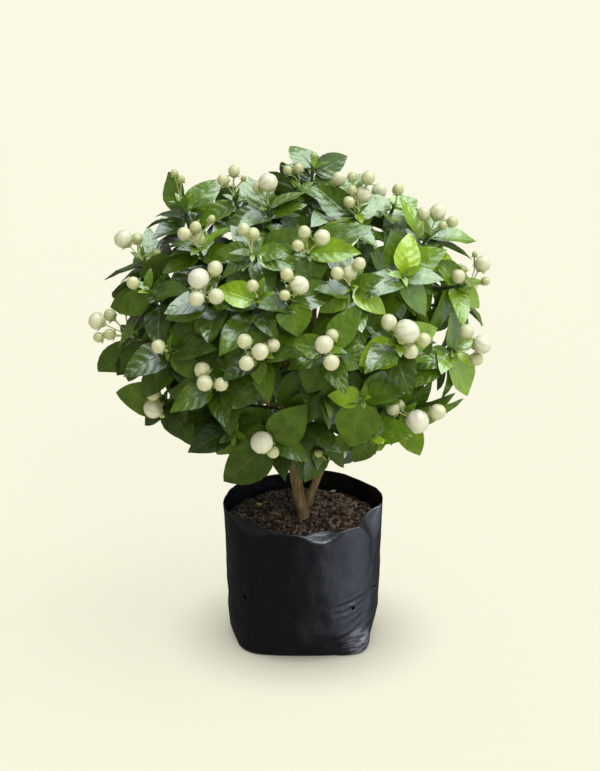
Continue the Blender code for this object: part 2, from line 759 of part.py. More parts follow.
class Leaf:
    """A leaf's place and size, and the points of its blade."""

    def __init__(self, root, axis, face, length, width, outline):
        self.root = root
        self.axis = axis.normalized()
        self.side = self.axis.cross(face).normalized()
        self.face = self.side.cross(self.axis)
        self.length = length
        self.width = width
        self.outline = outline

    def point(self, corner, swell):
        """Where one corner of the template goes, on a blade that is folded and arched."""
        stations = ((LEAF_ROOT / self.length, 0.0), *self.outline, (1.0, 0.0))
        last = len(stations) - 1
        ring = round(last * (1.0 - math.acos(max(-1.0, min(1.0, corner.z))) / math.pi))
        along, across = stations[ring]
        x = 0.0
        lift = 0.0
        if 0 < ring < last and abs(corner.x) > NEARLY_NONE:
            x = math.copysign(across * self.width / 2.0 + swell, corner.x)
        if 0 < ring < last and abs(corner.y) > NEARLY_NONE:
            lift = -math.copysign(LEAF_HALF_THICKNESS + swell, corner.y)
        sag = LEAF_FOLD * abs(x) - LEAF_ARCH * self.length * along * along
        return self.root + self.side * x + self.axis * self.length * along + self.face * (lift + sag)

    def mesh(self, templates, swell=0.0):
        """The closed blade, or a slightly swollen one for the clearance test."""
        mesh = templates[len(self.outline)].copy()
        for vertex in mesh.vertices:
            vertex.co = self.point(vertex.co, swell)
        return mesh


def turned(rng, vector, degrees):
    """A vector turned by a random rotation of up to so many degrees."""
    axis = Vector(rng.uniform(-1.0, 1.0) for _ in range(3)).normalized()
    return Matrix.Rotation(math.radians(rng.uniform(0.0, degrees)), 3, axis) @ vector


def large_leaf(rng, shoot, attempt, index, row):
    """A large leaf as the row asks, or one that strays from it more with each attempt."""
    clock, length, width = row
    size = LEAF_SLANT * MM * (1.0 - LEAF_STRAY["shrink"] * attempt)
    seen = shoot.right * math.cos(math.radians(clock)) + shoot.up * math.sin(math.radians(clock))
    outward = crown_out(shoot.tip)
    facing_share = outward.dot(shoot.facing)
    lean = -LEAF_LEAN * seen.dot(outward) * facing_share / (LEAF_LEAN_HOLD + facing_share**2)
    axis = turned(rng, seen + shoot.facing * lean, LEAF_STRAY["turn"] * attempt)
    face = outward * LEAF_FACE[0] + shoot.facing * LEAF_FACE[1] + UP * LEAF_FACE[2]
    face = turned(rng, face, LEAF_TILT + LEAF_STRAY["tilt"] * attempt)
    depth = LEAF_DEPTHS[index % len(LEAF_DEPTHS)] + rng.uniform(0.0, LEAF_STRAY["slide"]) * attempt
    root, _ = below_tip(shoot.path, depth)
    full_width = max(width, LEAF_SLIMMEST * length)
    roll = math.acos(width / full_width) * rng.choice((-1.0, 1.0))
    face = Matrix.Rotation(roll, 3, axis.normalized()) @ face
    outline = SMALL_OUTLINE if shoot.large_leaves is PLAIN_LEAVES else LARGE_OUTLINE
    return Leaf(root, axis, face, length * size, full_width * size, outline)


def pair_leaf(rng, shoot, attempt, twist):
    """One leaf of a pair on the shoot's lower part."""
    slide = PAIR_STRAY["slide"] * attempt
    turn = PAIR_STRAY["turn"] * attempt
    root, heading = below_tip(shoot.path, PAIR_DEPTH + rng.uniform(-slide, slide))
    level = heading.cross(UP).normalized()
    side = Matrix.Rotation(math.radians(twist + rng.uniform(-turn, turn)), 3, heading) @ level
    pitch = math.radians(PAIR_PITCH + rng.uniform(-turn, turn))
    axis = heading * math.cos(pitch) + side * math.sin(pitch) - UP * PAIR_DROOP
    face = heading * PAIR_FACE[0] + UP * PAIR_FACE[1]
    face = turned(rng, face, PAIR_TILT + PAIR_STRAY["tilt"] * attempt)
    length = rng.uniform(*PAIR_LENGTH) * (1.0 - PAIR_STRAY["shrink"] * attempt)
    return Leaf(root, axis, face, length, length * PAIR_WIDTH_SHARE, SMALL_OUTLINE)


def corners_of(mesh):
    """The lowest and the highest corner of a mesh's box."""
    points = [vertex.co for vertex in mesh.vertices]
    low = Vector(min(point[i] for point in points) for i in range(3))
    high = Vector(max(point[i] for point in points) for i in range(3))
    return low, high


class Room:
    """What is already placed, for keeping each new leaf clear of it."""

    def __init__(self):
        self.taken = []

    def add(self, owner, mesh):
        self.taken.append((owner, *corners_of(mesh), tree_of(mesh)))

    def is_clear(self, mesh, own, root):
        """Whether a swollen blade misses all else. Its root may touch its own branch."""
        low, high = corners_of(mesh)
        whole = tree_of(mesh)
        blade = tree_of(mesh, root)
        for owner, near, far, tree in self.taken:
            if any(low[i] > far[i] or high[i] < near[i] for i in range(3)):
                continue
            if (blade if owner == own else whole).overlap(tree):
                return False
        return True


def fit_leaf(rng, room, templates, shoot, maker):
    """Try a leaf in place after place until one is clear, or give it up."""
    for attempt in range(LEAF_TRIES):
        leaf = maker(rng, shoot, attempt)
        trial = leaf.mesh(templates, LEAF_MARGIN)
        root = min(range(len(trial.vertices)), key=lambda i: (trial.vertices[i].co - leaf.root).length)
        fits = room.is_clear(trial, shoot.branch, root)
        bpy.data.meshes.remove(trial)
        if fits:
            mesh = leaf.mesh(templates)
            room.add(shoot.branch, mesh)
            return [mesh]
    print("a leaf of", shoot.branch, "found no room")
    return []


def large_leaf_makers(shoot):
    """One maker for each large leaf of a shoot."""
    rows = enumerate(shoot.large_leaves)
    return [partial(large_leaf, index=index, row=row) for index, row in rows]


def pair_makers(shoot, number):
    """Makers for the two leaves of a shoot's pair, if it has one."""
    if len(shoot.large_leaves) >= PAIR_LIMIT and number % PAIR_SKIP:
        return []
    return [partial(pair_leaf, twist=PAIR_TWIST), partial(pair_leaf, twist=PAIR_TWIST + 180.0)]


def grow_leaves(branches, room):
    """The large leaves of every shoot first, then the pairs below them."""
    templates = {}
    for outline in (LARGE_OUTLINE, SMALL_OUTLINE):
        templates[len(outline)] = leaf_template(len(outline) + 1)
    leaves = {branch: [] for branch in branches}
    shoots = [shoot for group in branches.values() for shoot in group]
    for number, shoot in enumerate(shoots):
        rng = random.Random(LARGE_LEAF_SEED + number)
        for maker in large_leaf_makers(shoot):
            leaves[shoot.branch] += fit_leaf(rng, room, templates, shoot, maker)
    for number, shoot in enumerate(shoots):
        rng = random.Random(PAIR_SEED + number)
        for maker in pair_makers(shoot, number):
            leaves[shoot.branch] += fit_leaf(rng, room, templates, shoot, maker)
    return leaves


def main():
    clear_scene()
    group = new_collection("potted_arabian_jasmine")
    cutters = new_collection("cutters")
    finishes = {name: new_material(name) for name in COLOURS}
    build_bag(group, cutters, finishes["bag"])
    build_soil(group, cutters, finishes["soil"])
    trunk = build_trunk(group, finishes["bark"])
    branches = grow_shoots()
    room = Room()
    room.add("trunk", trunk.data)
    stems = {}
    clusters = []
    for branch, shoots in branches.items():
        radii = [radius * MM for radius in SHOOT_RADII]
        stems[branch] = [tube_mesh("stem", shoot.path, radii) for shoot in shoots]
        for mesh in stems[branch]:
            room.add(branch, mesh)
        for shoot in shoots:
            if shoot.buds:
                clusters.append(cluster_meshes(shoot))
                for mesh in clusters[-1]:
                    room.add(f"cluster_{len(clusters)}", mesh)
    leaves = grow_leaves(branches, room)
    for number, branch in enumerate(branches, 1):
        fuse(f"leafy_branch_{number:02d}", stems[branch] + leaves[branch], group, finishes["leaf"])
    for number, meshes in enumerate(clusters, 1):
        fuse(f"bud_cluster_{number:02d}", meshes, group, finishes["bud"])


main()
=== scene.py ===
# %% [markdown]
# # A potted arabian jasmine
#
# The plant is a round bush that stands on a short forked trunk in a black grow bag. The frame
# holds its solids at their real size: the bag, the soil, the trunk, fourteen leafy branches and
# one solid for each cluster of buds. This lesson makes a finer piece for each of them, in metres
# and in the same place, and gives every surface a finish made of shader nodes. Everything here is
# worked out by rules from a few sizes, so the same plant grows each time the script runs.

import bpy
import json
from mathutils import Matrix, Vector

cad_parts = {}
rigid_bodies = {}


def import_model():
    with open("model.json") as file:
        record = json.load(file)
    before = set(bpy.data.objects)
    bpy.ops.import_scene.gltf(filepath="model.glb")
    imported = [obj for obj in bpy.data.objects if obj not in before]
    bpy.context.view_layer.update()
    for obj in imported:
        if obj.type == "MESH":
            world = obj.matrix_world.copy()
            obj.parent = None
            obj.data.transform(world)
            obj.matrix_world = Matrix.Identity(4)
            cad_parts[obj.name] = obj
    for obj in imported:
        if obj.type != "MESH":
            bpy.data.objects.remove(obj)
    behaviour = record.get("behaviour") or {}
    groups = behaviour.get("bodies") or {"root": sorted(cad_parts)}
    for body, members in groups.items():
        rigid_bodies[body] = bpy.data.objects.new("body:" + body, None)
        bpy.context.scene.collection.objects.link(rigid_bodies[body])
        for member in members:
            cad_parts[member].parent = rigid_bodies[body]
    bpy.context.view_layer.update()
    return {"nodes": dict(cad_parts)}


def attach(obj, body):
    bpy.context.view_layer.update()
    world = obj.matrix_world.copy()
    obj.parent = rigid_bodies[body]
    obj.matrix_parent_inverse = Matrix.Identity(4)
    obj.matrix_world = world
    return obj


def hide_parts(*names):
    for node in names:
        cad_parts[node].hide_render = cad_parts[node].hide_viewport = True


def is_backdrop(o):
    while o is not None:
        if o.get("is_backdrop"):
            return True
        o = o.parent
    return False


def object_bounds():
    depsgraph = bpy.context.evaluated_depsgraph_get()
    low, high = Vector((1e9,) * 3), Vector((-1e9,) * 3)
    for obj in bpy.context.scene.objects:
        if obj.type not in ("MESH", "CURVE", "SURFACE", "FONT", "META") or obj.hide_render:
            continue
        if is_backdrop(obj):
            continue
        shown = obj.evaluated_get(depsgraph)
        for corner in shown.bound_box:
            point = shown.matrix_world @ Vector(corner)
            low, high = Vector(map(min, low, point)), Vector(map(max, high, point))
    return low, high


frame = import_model()
print("the frame holds", len(frame["nodes"]), "nodes")

# %% Load Blender's modules
import json
import math
import random
from functools import partial

import bmesh
import bpy
import numpy as np
from mathutils import Matrix, Vector, noise
from mathutils.bvhtree import BVHTree

MM = 0.001
UP = Vector((0.0, 0.0, 1.0))
# Corners closer than this are one corner.
MERGE_WITHIN = 0.001 * MM

# %% [markdown]
# ## Small tools
#
# Most shapes on a plant are soft, so one helper eases a number from 0 to 1 and another makes a
# hill that dies out on both sides. Meshes are made as a bmesh first, which is Blender's own form
# of a mesh for modelling, and each finished one becomes an object at the origin, so that its place
# is in its corners.

# %% Tools for numbers
def ease(value):
    """Run smoothly from 0 to 1, and stay there."""
    value = np.clip(value, 0.0, 1.0)
    return value * value * (3.0 - 2.0 * value)


def hill(value):
    """1 in the middle and 0 from -1 and 1 outwards."""
    return np.clip(1.0 - np.square(value), 0.0, 1.0) ** 2


def clamped(value):
    """The nearest number from 0 to 1."""
    return min(1.0, max(0.0, value))


def turn_from(angle, middle):
    """The signed turn to an angle in radians from a middle in degrees, in radians."""
    return (angle - math.radians(middle) + math.pi) % math.tau - math.pi


def degrees_from(angle, middle):
    """The same turn in degrees."""
    return np.degrees(turn_from(angle, middle))


def millimetres(values):
    """A vector in metres from one in mm."""
    return Vector(values) * MM


def scatter(rng, reach=1.0):
    """A vector with a random number from -reach to reach in each direction."""
    return Vector(rng.uniform(-reach, reach) for _ in range(3))


def path_length(path):
    """The length of a line of points."""
    return sum((b - a).length for a, b in zip(path, path[1:]))


def turn_to(axis):
    """The turn that brings what stands upright in line with an axis."""
    return UP.rotation_difference(axis).to_matrix().to_4x4()


print("a hill is", float(hill(0.0)), "high in its middle")

# %% Tools for meshes
def set_up(name, data):
    """Put a mesh, a curve, a lamp or a camera into the scene as an object."""
    thing = bpy.data.objects.new(name, data)
    bpy.context.scene.collection.objects.link(thing)
    return thing


def new_shape(*layers):
    """An empty bmesh whose corners can carry the named numbers."""
    shape = bmesh.new()
    for layer in layers:
        shape.verts.layers.float.new(layer)
    return shape


def finished_mesh(name, shape, turn_out=True):
    """Make a bmesh a mesh with its faces outwards, and free it."""
    mesh = bpy.data.meshes.new(name)
    if turn_out:
        bmesh.ops.recalc_face_normals(shape, faces=shape.faces)
    shape.to_mesh(mesh)
    shape.free()
    return mesh


def evaluated_mesh(thing):
    """The mesh of an object with its modifiers or its curve applied."""
    graph = bpy.context.evaluated_depsgraph_get()
    return bpy.data.meshes.new_from_object(thing.evaluated_get(graph))


def dress(name, mesh, finishes, slot, *nodes):
    """A finished piece: smooth, with its materials, riding on the part in place of CAD nodes."""
    mesh.materials.clear()
    for finish in finishes:
        mesh.materials.append(finish)
    mesh.shade_smooth()
    piece = set_up(name, mesh)
    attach(piece, "root")
    if nodes:
        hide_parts(*nodes)


def tube_mesh(name, points, radii, bevel_resolution=0):
    """A closed tube through points, with a radius at each one."""
    curve = bpy.data.curves.new(name, "CURVE")
    curve.dimensions = "3D"
    curve.bevel_depth = 1.0
    curve.bevel_resolution = bevel_resolution
    curve.use_fill_caps = True
    spline = curve.splines.new("POLY")
    spline.points.add(len(points) - 1)
    for knot, place, radius in zip(spline.points, points, radii):
        knot.co = (*place, 1.0)
        knot.radius = radius
    guide = set_up(name, curve)
    mesh = evaluated_mesh(guide)
    bpy.data.objects.remove(guide, do_unlink=True)
    bpy.data.curves.remove(curve)
    shape = bmesh.new()
    shape.from_mesh(mesh)
    bmesh.ops.remove_doubles(shape, verts=shape.verts, dist=MERGE_WITHIN)
    bpy.data.meshes.remove(mesh)
    return finished_mesh(name, shape)


def flowing(points, radii, spans=6):
    """A smooth curve through a few points, with its radii: a Catmull-Rom spline."""
    ends = [points[0] * 2.0 - points[1], *points, points[-1] * 2.0 - points[-2]]
    path = [points[0].copy()]
    sizes = [radii[0]]
    for i in range(len(points) - 1):
        a, b, c, d = ends[i : i + 4]
        for step in range(1, spans + 1):
            t = step / spans
            bend = (2.0 * b) + (c - a) * t + (2.0 * a - 5.0 * b + 4.0 * c - d) * t * t
            path.append((bend + (3.0 * b - a - 3.0 * c + d) * t**3) * 0.5)
            sizes.append(radii[i] + (radii[i + 1] - radii[i]) * t)
    return path, sizes


def join_into(shape, mesh, material_index=0):
    """Add a mesh to a bmesh, in one of its materials, and drop the mesh."""
    mesh.polygons.foreach_set("material_index", [material_index] * len(mesh.polygons))
    shape.from_mesh(mesh)
    bpy.data.meshes.remove(mesh)


print("tools for meshes are ready")

# %% [markdown]
# ## The camera
#
# The photo looks slightly down on the plant with a long lens, so that the rim of the bag shows as
# a flat oval and the crown hardly narrows upwards. A camera 1.8 m in front, tipped down by
# 18 degrees, gives the same oval.

# %% Place the camera
CAMERA_PLACE = Vector((-3.3, -1800.0, 883.0)) * MM
CAMERA_DIP = math.radians(18.15)
CAMERA_LENS = 81.6

camera_data = bpy.data.cameras.new("portrait_camera")
camera_data.lens = CAMERA_LENS
camera = set_up("portrait_camera", camera_data)
camera.location = CAMERA_PLACE
camera.rotation_euler = (math.pi / 2.0 - CAMERA_DIP, 0.0, 0.0)
bpy.context.scene.camera = camera
print("the camera stands", round(CAMERA_PLACE.length, 2), "m away")

# %% [markdown]
# ## Node helpers
#
# A finish is a tree of shader nodes. The helpers below keep each tree short: one adds a node,
# another plugs in its inputs, and the others wrap the nodes that come back in every finish, such
# as noise and a mix of two colours. The sky is a tree as well and shares the first ones. Patterns
# read Object coordinates, which are metres on the plant itself.

# %% Helpers for shader trees
class Nodes:
    """A tree of shader nodes that are added one by one."""

    def __init__(self, tree):
        self.tree = tree

    def add(self, kind, **settings):
        node = self.tree.nodes.new(kind)
        for name, value in settings.items():
            setattr(node, name, value)
        return node

    def feed(self, socket, value):
        """Plug a socket into another, or set it to a number, a vector or an opaque colour."""
        if isinstance(value, bpy.types.NodeSocket):
            self.tree.links.new(value, socket)
        elif socket.type == "RGBA":
            socket.default_value = (*value, 1.0)
        else:
            socket.default_value = value

    def math(self, operation, *values):
        node = self.add("ShaderNodeMath", operation=operation)
        for socket, value in zip(node.inputs, values):
            self.feed(socket, value)
        return node.outputs[0]

    def measure(self, operation, place, other):
        """A number made from two vectors, such as their distance."""
        node = self.add("ShaderNodeVectorMath", operation=operation)
        self.feed(node.inputs[0], place)
        self.feed(node.inputs[1], other)
        return node.outputs["Value"]

    def split(self, vector):
        """The three numbers of a vector."""
        node = self.add("ShaderNodeSeparateXYZ")
        self.feed(node.inputs[0], vector)
        return node.outputs

    def between(self, value, low, high, to_low=0.0, to_high=1.0):
        """Map a range onto another, smoothly."""
        node = self.add("ShaderNodeMapRange", interpolation_type="SMOOTHSTEP")
        for socket, number in zip(node.inputs, (value, low, high, to_low, to_high)):
            self.feed(socket, number)
        return node.outputs[0]

    def blend(self, share, first, second):
        """A mix of two colours."""
        node = self.add("ShaderNodeMix", data_type="RGBA")
        for index, value in ((0, share), (6, first), (7, second)):
            self.feed(node.inputs[index], value)
        return node.outputs[2]

    def ramp(self, value, *stops):
        """A colour ramp with (place, colour) stops."""
        node = self.add("ShaderNodeValToRGB")
        elements = node.color_ramp.elements
        while len(elements) < len(stops):
            elements.new(0.5)
        for element, (place, colour) in zip(elements, stops):
            element.position = place
            element.color = (*colour, 1.0)
        self.feed(node.inputs[0], value)
        return node.outputs[0]


print("helpers for any tree are ready")

# %% Helpers for finishes
class Finish(Nodes):
    """A material with its shader, and the place on the plant that its patterns read."""

    def __init__(self, name, **constants):
        self.material = bpy.data.materials.new(name)
        self.material.use_nodes = True
        super().__init__(self.material.node_tree)
        self.shader = self.tree.nodes["Principled BSDF"]
        for socket, value in constants.items():
            self.shader.inputs[socket.replace("_", " ")].default_value = value
        self.place = self.add("ShaderNodeTexCoord").outputs["Object"]

    def noise(self, scale, detail=3.0, stretch=None, distortion=0.0):
        """Noise of so many lumps a metre, with its place stretched along the axes if asked."""
        place = self.place
        if stretch:
            mapping = self.add("ShaderNodeMapping")
            self.feed(mapping.inputs["Scale"], stretch)
            self.feed(mapping.inputs["Vector"], place)
            place = mapping.outputs[0]
        node = self.add("ShaderNodeTexNoise")
        inputs = {"Vector": place, "Scale": scale, "Detail": detail, "Distortion": distortion}
        for socket, value in inputs.items():
            self.feed(node.inputs[socket], value)
        return node.outputs["Fac"]

    def wander(self, scale, low, high, detail=3.0):
        """A number that wanders between two limits over the surface."""
        return self.between(self.noise(scale, detail), 0.3, 0.7, low, high)

    def attribute(self, name):
        return self.add("ShaderNodeAttribute", attribute_name=name).outputs["Fac"]

    def relief(self, height, distance, strength=1.0, under=None):
        """A bump from a height between 0 and 1, over another one if given."""
        node = self.add("ShaderNodeBump")
        self.feed(node.inputs["Distance"], distance)
        self.feed(node.inputs["Strength"], strength)
        self.feed(node.inputs["Height"], height)
        if under:
            self.feed(node.inputs["Normal"], under)
        return node.outputs[0]

    def surface(self, colour, roughness=None, normal=None):
        """Plug the pattern into the shader. What is left out keeps its constant."""
        for socket, value in (("Base Color", colour), ("Roughness", roughness), ("Normal", normal)):
            if value is not None:
                self.feed(self.shader.inputs[socket], value)
        return self.material


print("helpers for finishes are ready")

# %% [markdown]
# ## Floor and light
#
# The photo has a plain cream backdrop, a small shadow round the bag's foot and a soft light from
# above, a little from the right and from behind. A very large cream floor fills the whole view
# here, because the camera looks down on it. Area lamps would leave a bright spot on it, so the
# lamps are suns, whose light is even however far the floor reaches, and their wide angle keeps the
# shadows soft. One high up lights the crown, a weak one in front keeps the buds round, and a very
# wide one that only shows in reflections gives the pale gloss on the upper leaves. The world is a
# soft sky with a cool window low on the right, which shows in the black film.
#
# Most of the floor's brightness is a glow of its own, like a light table's, so that the crown's
# shadow on it stays faint. An Ambient Occlusion node dims the glow close to the bag, which gives
# the small contact shadow. The floor stays out of mirror reflections, which keeps the film as
# black as it is. Blender's plain "Standard" view shows the colours as they are, where its default
# view would mute them.

# %% Make the floor
FLOOR_HALF = 30.0
CREAM = (0.150, 0.145, 0.116)
CREAM_GLOW = (0.785, 0.760, 0.613)
CONTACT_REACH = 0.085

cream = Finish("cream_floor", Roughness=0.9, Specular_IOR_Level=0.1, Emission_Strength=1.0)
closeness = cream.add("ShaderNodeAmbientOcclusion", samples=16)
cream.feed(closeness.inputs["Color"], CREAM_GLOW)
cream.feed(closeness.inputs["Distance"], CONTACT_REACH)
cream.feed(cream.shader.inputs["Emission Color"], closeness.outputs["Color"])
cream.surface(cream.ramp(cream.noise(0.8), (0.3, CREAM), (0.7, [c * 0.985 for c in CREAM])))
floor_shape = new_shape()
bmesh.ops.create_grid(floor_shape, x_segments=2, y_segments=2, size=FLOOR_HALF)
floor = set_up("floor", finished_mesh("floor", floor_shape))
floor.data.materials.append(cream.material)
floor.visible_glossy = False
floor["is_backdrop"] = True
print("the floor is", 2 * FLOOR_HALF, "m wide")

# %% Light the set
def sun(name, place, angle, strength, colour):
    """Make and return a sun that shines from a direction, as wide as its angle in degrees."""
    light = bpy.data.lights.new(name, "SUN")
    light.angle = math.radians(angle)
    light.energy = strength
    light.color = colour
    thing = set_up(name, light)
    thing.location = place
    thing.rotation_euler = Vector(place).to_track_quat("Z", "Y").to_euler()
    return thing


sun("high_sun", (0.45, -0.22, 1.30), 46.0, 2.15, (0.95, 0.99, 1.0))
front_sun = sun("front_sun", (0.50, -1.70, 1.15), 24.0, 0.85, (1.0, 0.99, 0.90))
front_sun.visible_glossy = False
sheen_sun = sun("sheen_sun", (0.34, 0.08, 1.20), 80.0, 7.00, (0.84, 0.95, 1.0))
sheen_sun.visible_diffuse = False
print("three wide suns light the set")

# %% Make the sky
# Levels of the sky from straight down (0) over the horizon (0.5) to straight up (1).
SKY_LEVELS = ((0.0, 0.05), (0.50, 0.08), (0.58, 0.15), (0.75, 0.23), (1.0, 0.30))
SKY_TINT = (1.0, 0.99, 0.96)
# The window is brightest in its middle and fades out where the cosine falls to its edge.
WINDOW_TOWARDS = Vector((0.92, -0.22, -0.06)).normalized()
WINDOW_COLOUR = (0.92, 1.02, 1.24)
WINDOW_EDGE = 0.54
WINDOW_MIDDLE = 0.97

world = bpy.data.worlds.new("soft_sky")
bpy.context.scene.world = world
world.use_nodes = True
sky = Nodes(world.node_tree)
sky_place = sky.add("ShaderNodeTexCoord").outputs["Generated"]
sky_height = sky.math("MULTIPLY_ADD", sky.split(sky_place)[2], 0.5, 0.5)
sky_stops = [(place, [level * part for part in SKY_TINT]) for place, level in SKY_LEVELS]
window = sky.measure("DOT_PRODUCT", sky_place, WINDOW_TOWARDS)
window = sky.between(window, WINDOW_EDGE, WINDOW_MIDDLE)
sky_colour = sky.blend(window, sky.ramp(sky_height, *sky_stops), WINDOW_COLOUR)
sky.feed(sky.tree.nodes["Background"].inputs["Color"], sky_colour)
bpy.context.scene.view_settings.view_transform = "Standard"
print("the sky has a window towards", [round(value, 2) for value in WINDOW_TOWARDS])

# %% [markdown]
# ## The grow bag
#
# A grow bag is a tube of thin black film, welded across its bottom and folded flat there, so that
# it stands on a rounded oblong. The soil pushes it round again a little higher up. It could be
# simulated as cloth, but its form is known from the frame, so the film here is a turned profile
# whose radius changes with height from oblong to circle. Creases, dents at the rim and the folded
# corner are then pressed into it by formulas, with heights in millimetres.

# %% Sizes of the bag
BAG_HEIGHT = 156 * MM
BAG_RIM_RADIUS = 90 * MM
BAG_SHOULDER_RADIUS = 85 * MM
BAG_SHOULDER_HEIGHT = 38 * MM
BAG_FLOOR_HALF_WIDTH = 84 * MM
BAG_FLOOR_HALF_DEPTH = 67 * MM
BAG_CORNER_POWER = 3.0
BAG_FILM = 0.6 * MM
BAG_RIM_WAVE = 2.5 * MM
BAG_RIM_TILT = 2.5 * MM
BAG_SLACK = 0.7 * MM
# Drain holes as angle in degrees and height in mm.
DRAIN_HOLES = ((-49, 58), (-21, 68), (42, 58), (70, 68), (138, 58), (222, 68))
DRAIN_RADIUS = 2.3 * MM
PUNCH_LENGTH = 14 * MM


def bag_radius(angle, height):
    """The bag's outer radius: a rounded oblong at the floor that turns into a circle."""
    power = BAG_CORNER_POWER
    across = np.abs(np.cos(angle)) / BAG_FLOOR_HALF_WIDTH
    ahead = np.abs(np.sin(angle)) / BAG_FLOOR_HALF_DEPTH
    oblong = (across**power + ahead**power) ** (-1.0 / power)
    share = ease(height / BAG_SHOULDER_HEIGHT)
    above = np.maximum(0.0, height - BAG_SHOULDER_HEIGHT) / (BAG_HEIGHT - BAG_SHOULDER_HEIGHT)
    circle = BAG_SHOULDER_RADIUS + (BAG_RIM_RADIUS - BAG_SHOULDER_RADIUS) * above
    slack = BAG_SLACK * np.sin(3.0 * angle + 0.6) * np.sin(math.pi * above)
    return oblong + (circle - oblong) * share + slack


def rim_lift(angle):
    """How far the cut edge stands above or below the bag's height. It is higher behind."""
    wave = 0.6 * np.sin(2.0 * angle + 0.5) + 0.4 * np.sin(5.0 * angle + 1.2)
    return BAG_RIM_WAVE * wave + BAG_RIM_TILT * (1.0 + np.sin(angle))


print("the rim is", round(2000 * BAG_RIM_RADIUS), "mm across")

# %% Turn a profile
def turned_mesh(name, profile, steps):
    """Spin a profile of (radius share, height) about Z and close its poles."""
    shape = new_shape()
    corners = [shape.verts.new((share, 0.0, height)) for share, height in profile]
    edges = [shape.edges.new(pair) for pair in zip(corners, corners[1:])]
    bmesh.ops.spin(
        shape,
        geom=corners + edges,
        cent=(0.0, 0.0, 0.0),
        axis=UP,
        angle=math.tau,
        steps=steps,
        use_merge=True,
    )
    bmesh.ops.remove_doubles(shape, verts=shape.verts, dist=MERGE_WITHIN)
    return finished_mesh(name, shape)


def corner_array(mesh):
    """The places of a mesh's corners, one row for each."""
    places = np.empty(len(mesh.vertices) * 3)
    mesh.vertices.foreach_get("co", places)
    return places.reshape(-1, 3)


def polar(mesh):
    """Radius share, angle and height of every corner, as arrays."""
    x, y, z = corner_array(mesh).T
    return np.hypot(x, y), np.arctan2(y, x), z


def set_polar(mesh, radius, angle, height):
    """Move every corner of a mesh to its radius, angle and height."""
    places = np.stack((radius * np.cos(angle), radius * np.sin(angle), height), axis=1)
    mesh.vertices.foreach_set("co", places.ravel())


def lumps(radius, angle, height, scale, seed=0.0):
    """Smooth noise at the places of a turned shape, from about -1 to 1."""
    x = radius * np.cos(angle) * scale + seed
    y = radius * np.sin(angle) * scale
    z = height * scale
    return np.array([noise.noise(Vector(place)) for place in zip(x, y, z)])


print("profiles are turned about the plant's middle")

# %% [markdown]
# ### Creases in the film
#
# Film doesn't stretch, so it buckles. The rim leans in where hands have folded it: each dent there
# is a window of angle in which the top of the wall tips inwards above a curved crease, and that
# tipped band catches the sky. Round two of the drain holes the punch has drawn the film into short
# slanting wrinkles. At the right front corner of the floor a triangle of film is folded over.

# %% Places of the creases
# Rim dents: middle angle, half-width in degrees, height of the tipped band and how far it tips.
RIM_DENTS = (
    (-75.0, 18.0, 14.0, 11.0),
    (-27.0, 22.0, 27.0, 12.5),
    (-133.0, 26.0, 17.0, 7.0),
    (165.0, 20.0, 12.0, 1.5),
    (100.0, 26.0, 12.0, 1.5),
    (40.0, 18.0, 12.0, 1.5),
)
# Wrinkles: angle in degrees, height, slope in degrees, half-length, half-height, pitch and depth.
WRINKLES = (
    (-53.0, 62.0, 16.0, 26.0, 17.0, 8.5, 2.3),
    (-50.0, 34.0, 30.0, 30.0, 14.0, 12.0, 1.5),
    (-43.0, 13.0, 32.0, 20.0, 10.0, 3.6, 1.2),
    (-24.0, 66.0, 35.0, 13.0, 12.0, 7.0, 0.5),
    (222.0, 66.0, -15.0, 18.0, 9.0, 8.0, 0.5),
    (48.0, 55.0, 15.0, 24.0, 12.0, 10.0, 0.8),
    (140.0, 52.0, -20.0, 24.0, 14.0, 10.0, 0.9),
)
# The folded corners: middle angle, half-width in degrees, height of the upper edge, how far the
# fold stands out and how far below its edge it does so.
CORNER_FOLDS = (
    (-43.0, 17.0, 26.0, 5.0, 5.0),
    (220.0, 18.0, 15.0, 1.6, 2.5),
    (40.0, 20.0, 17.0, 1.8, 2.5),
    (140.0, 20.0, 16.0, 1.6, 2.5),
)
# Where the folded corners pull the wall in: middle angle, half-width, height in mm and depth.
CORNER_PULLS = ((-14.0, 32.0, 34.0, 8.0), (200.0, 30.0, 32.0, 6.0), (20.0, 26.0, 26.0, 3.0))
print(len(RIM_DENTS), "rim dents and", len(WRINKLES), "fields of wrinkles")

# %% Rules for the creases
def dent_depth(angle, below_rim):
    """How far the rim's dents push the film inwards, in mm."""
    depth = np.zeros_like(angle)
    for middle, half_width, band, tip in RIM_DENTS:
        window = hill(degrees_from(angle, middle) / half_width)
        share = ease(1.0 - below_rim / np.maximum(band * window, 0.01))
        depth = np.maximum(depth, tip * window**0.5 * share)
    return depth


def wrinkle_height(angle, height):
    """The wrinkles round the drain holes, in mm."""
    total = np.zeros_like(angle)
    for middle, level, slope, half_length, half_height, pitch, depth in WRINKLES:
        across = turn_from(angle, middle) * BAG_SHOULDER_RADIUS / MM
        rise = height - level
        tilt = math.radians(slope)
        along = across * math.cos(tilt) + rise * math.sin(tilt)
        beside = rise * math.cos(tilt) - across * math.sin(tilt)
        ridge = 1.0 - 2.0 * np.abs(np.sin(math.pi * (beside / pitch + 0.02 * along)))
        total += depth * ridge * hill(along / half_length) * hill(beside / half_height)
    return total


def corner_pull(angle, height):
    """How far the wall is drawn in over a folded corner, in mm."""
    total = np.zeros_like(angle)
    for middle, half_width, reach, depth in CORNER_PULLS:
        window = hill(degrees_from(angle, middle) / half_width)
        total += depth * window * np.clip(1.0 - height / reach, 0.0, 1.0)
    return total


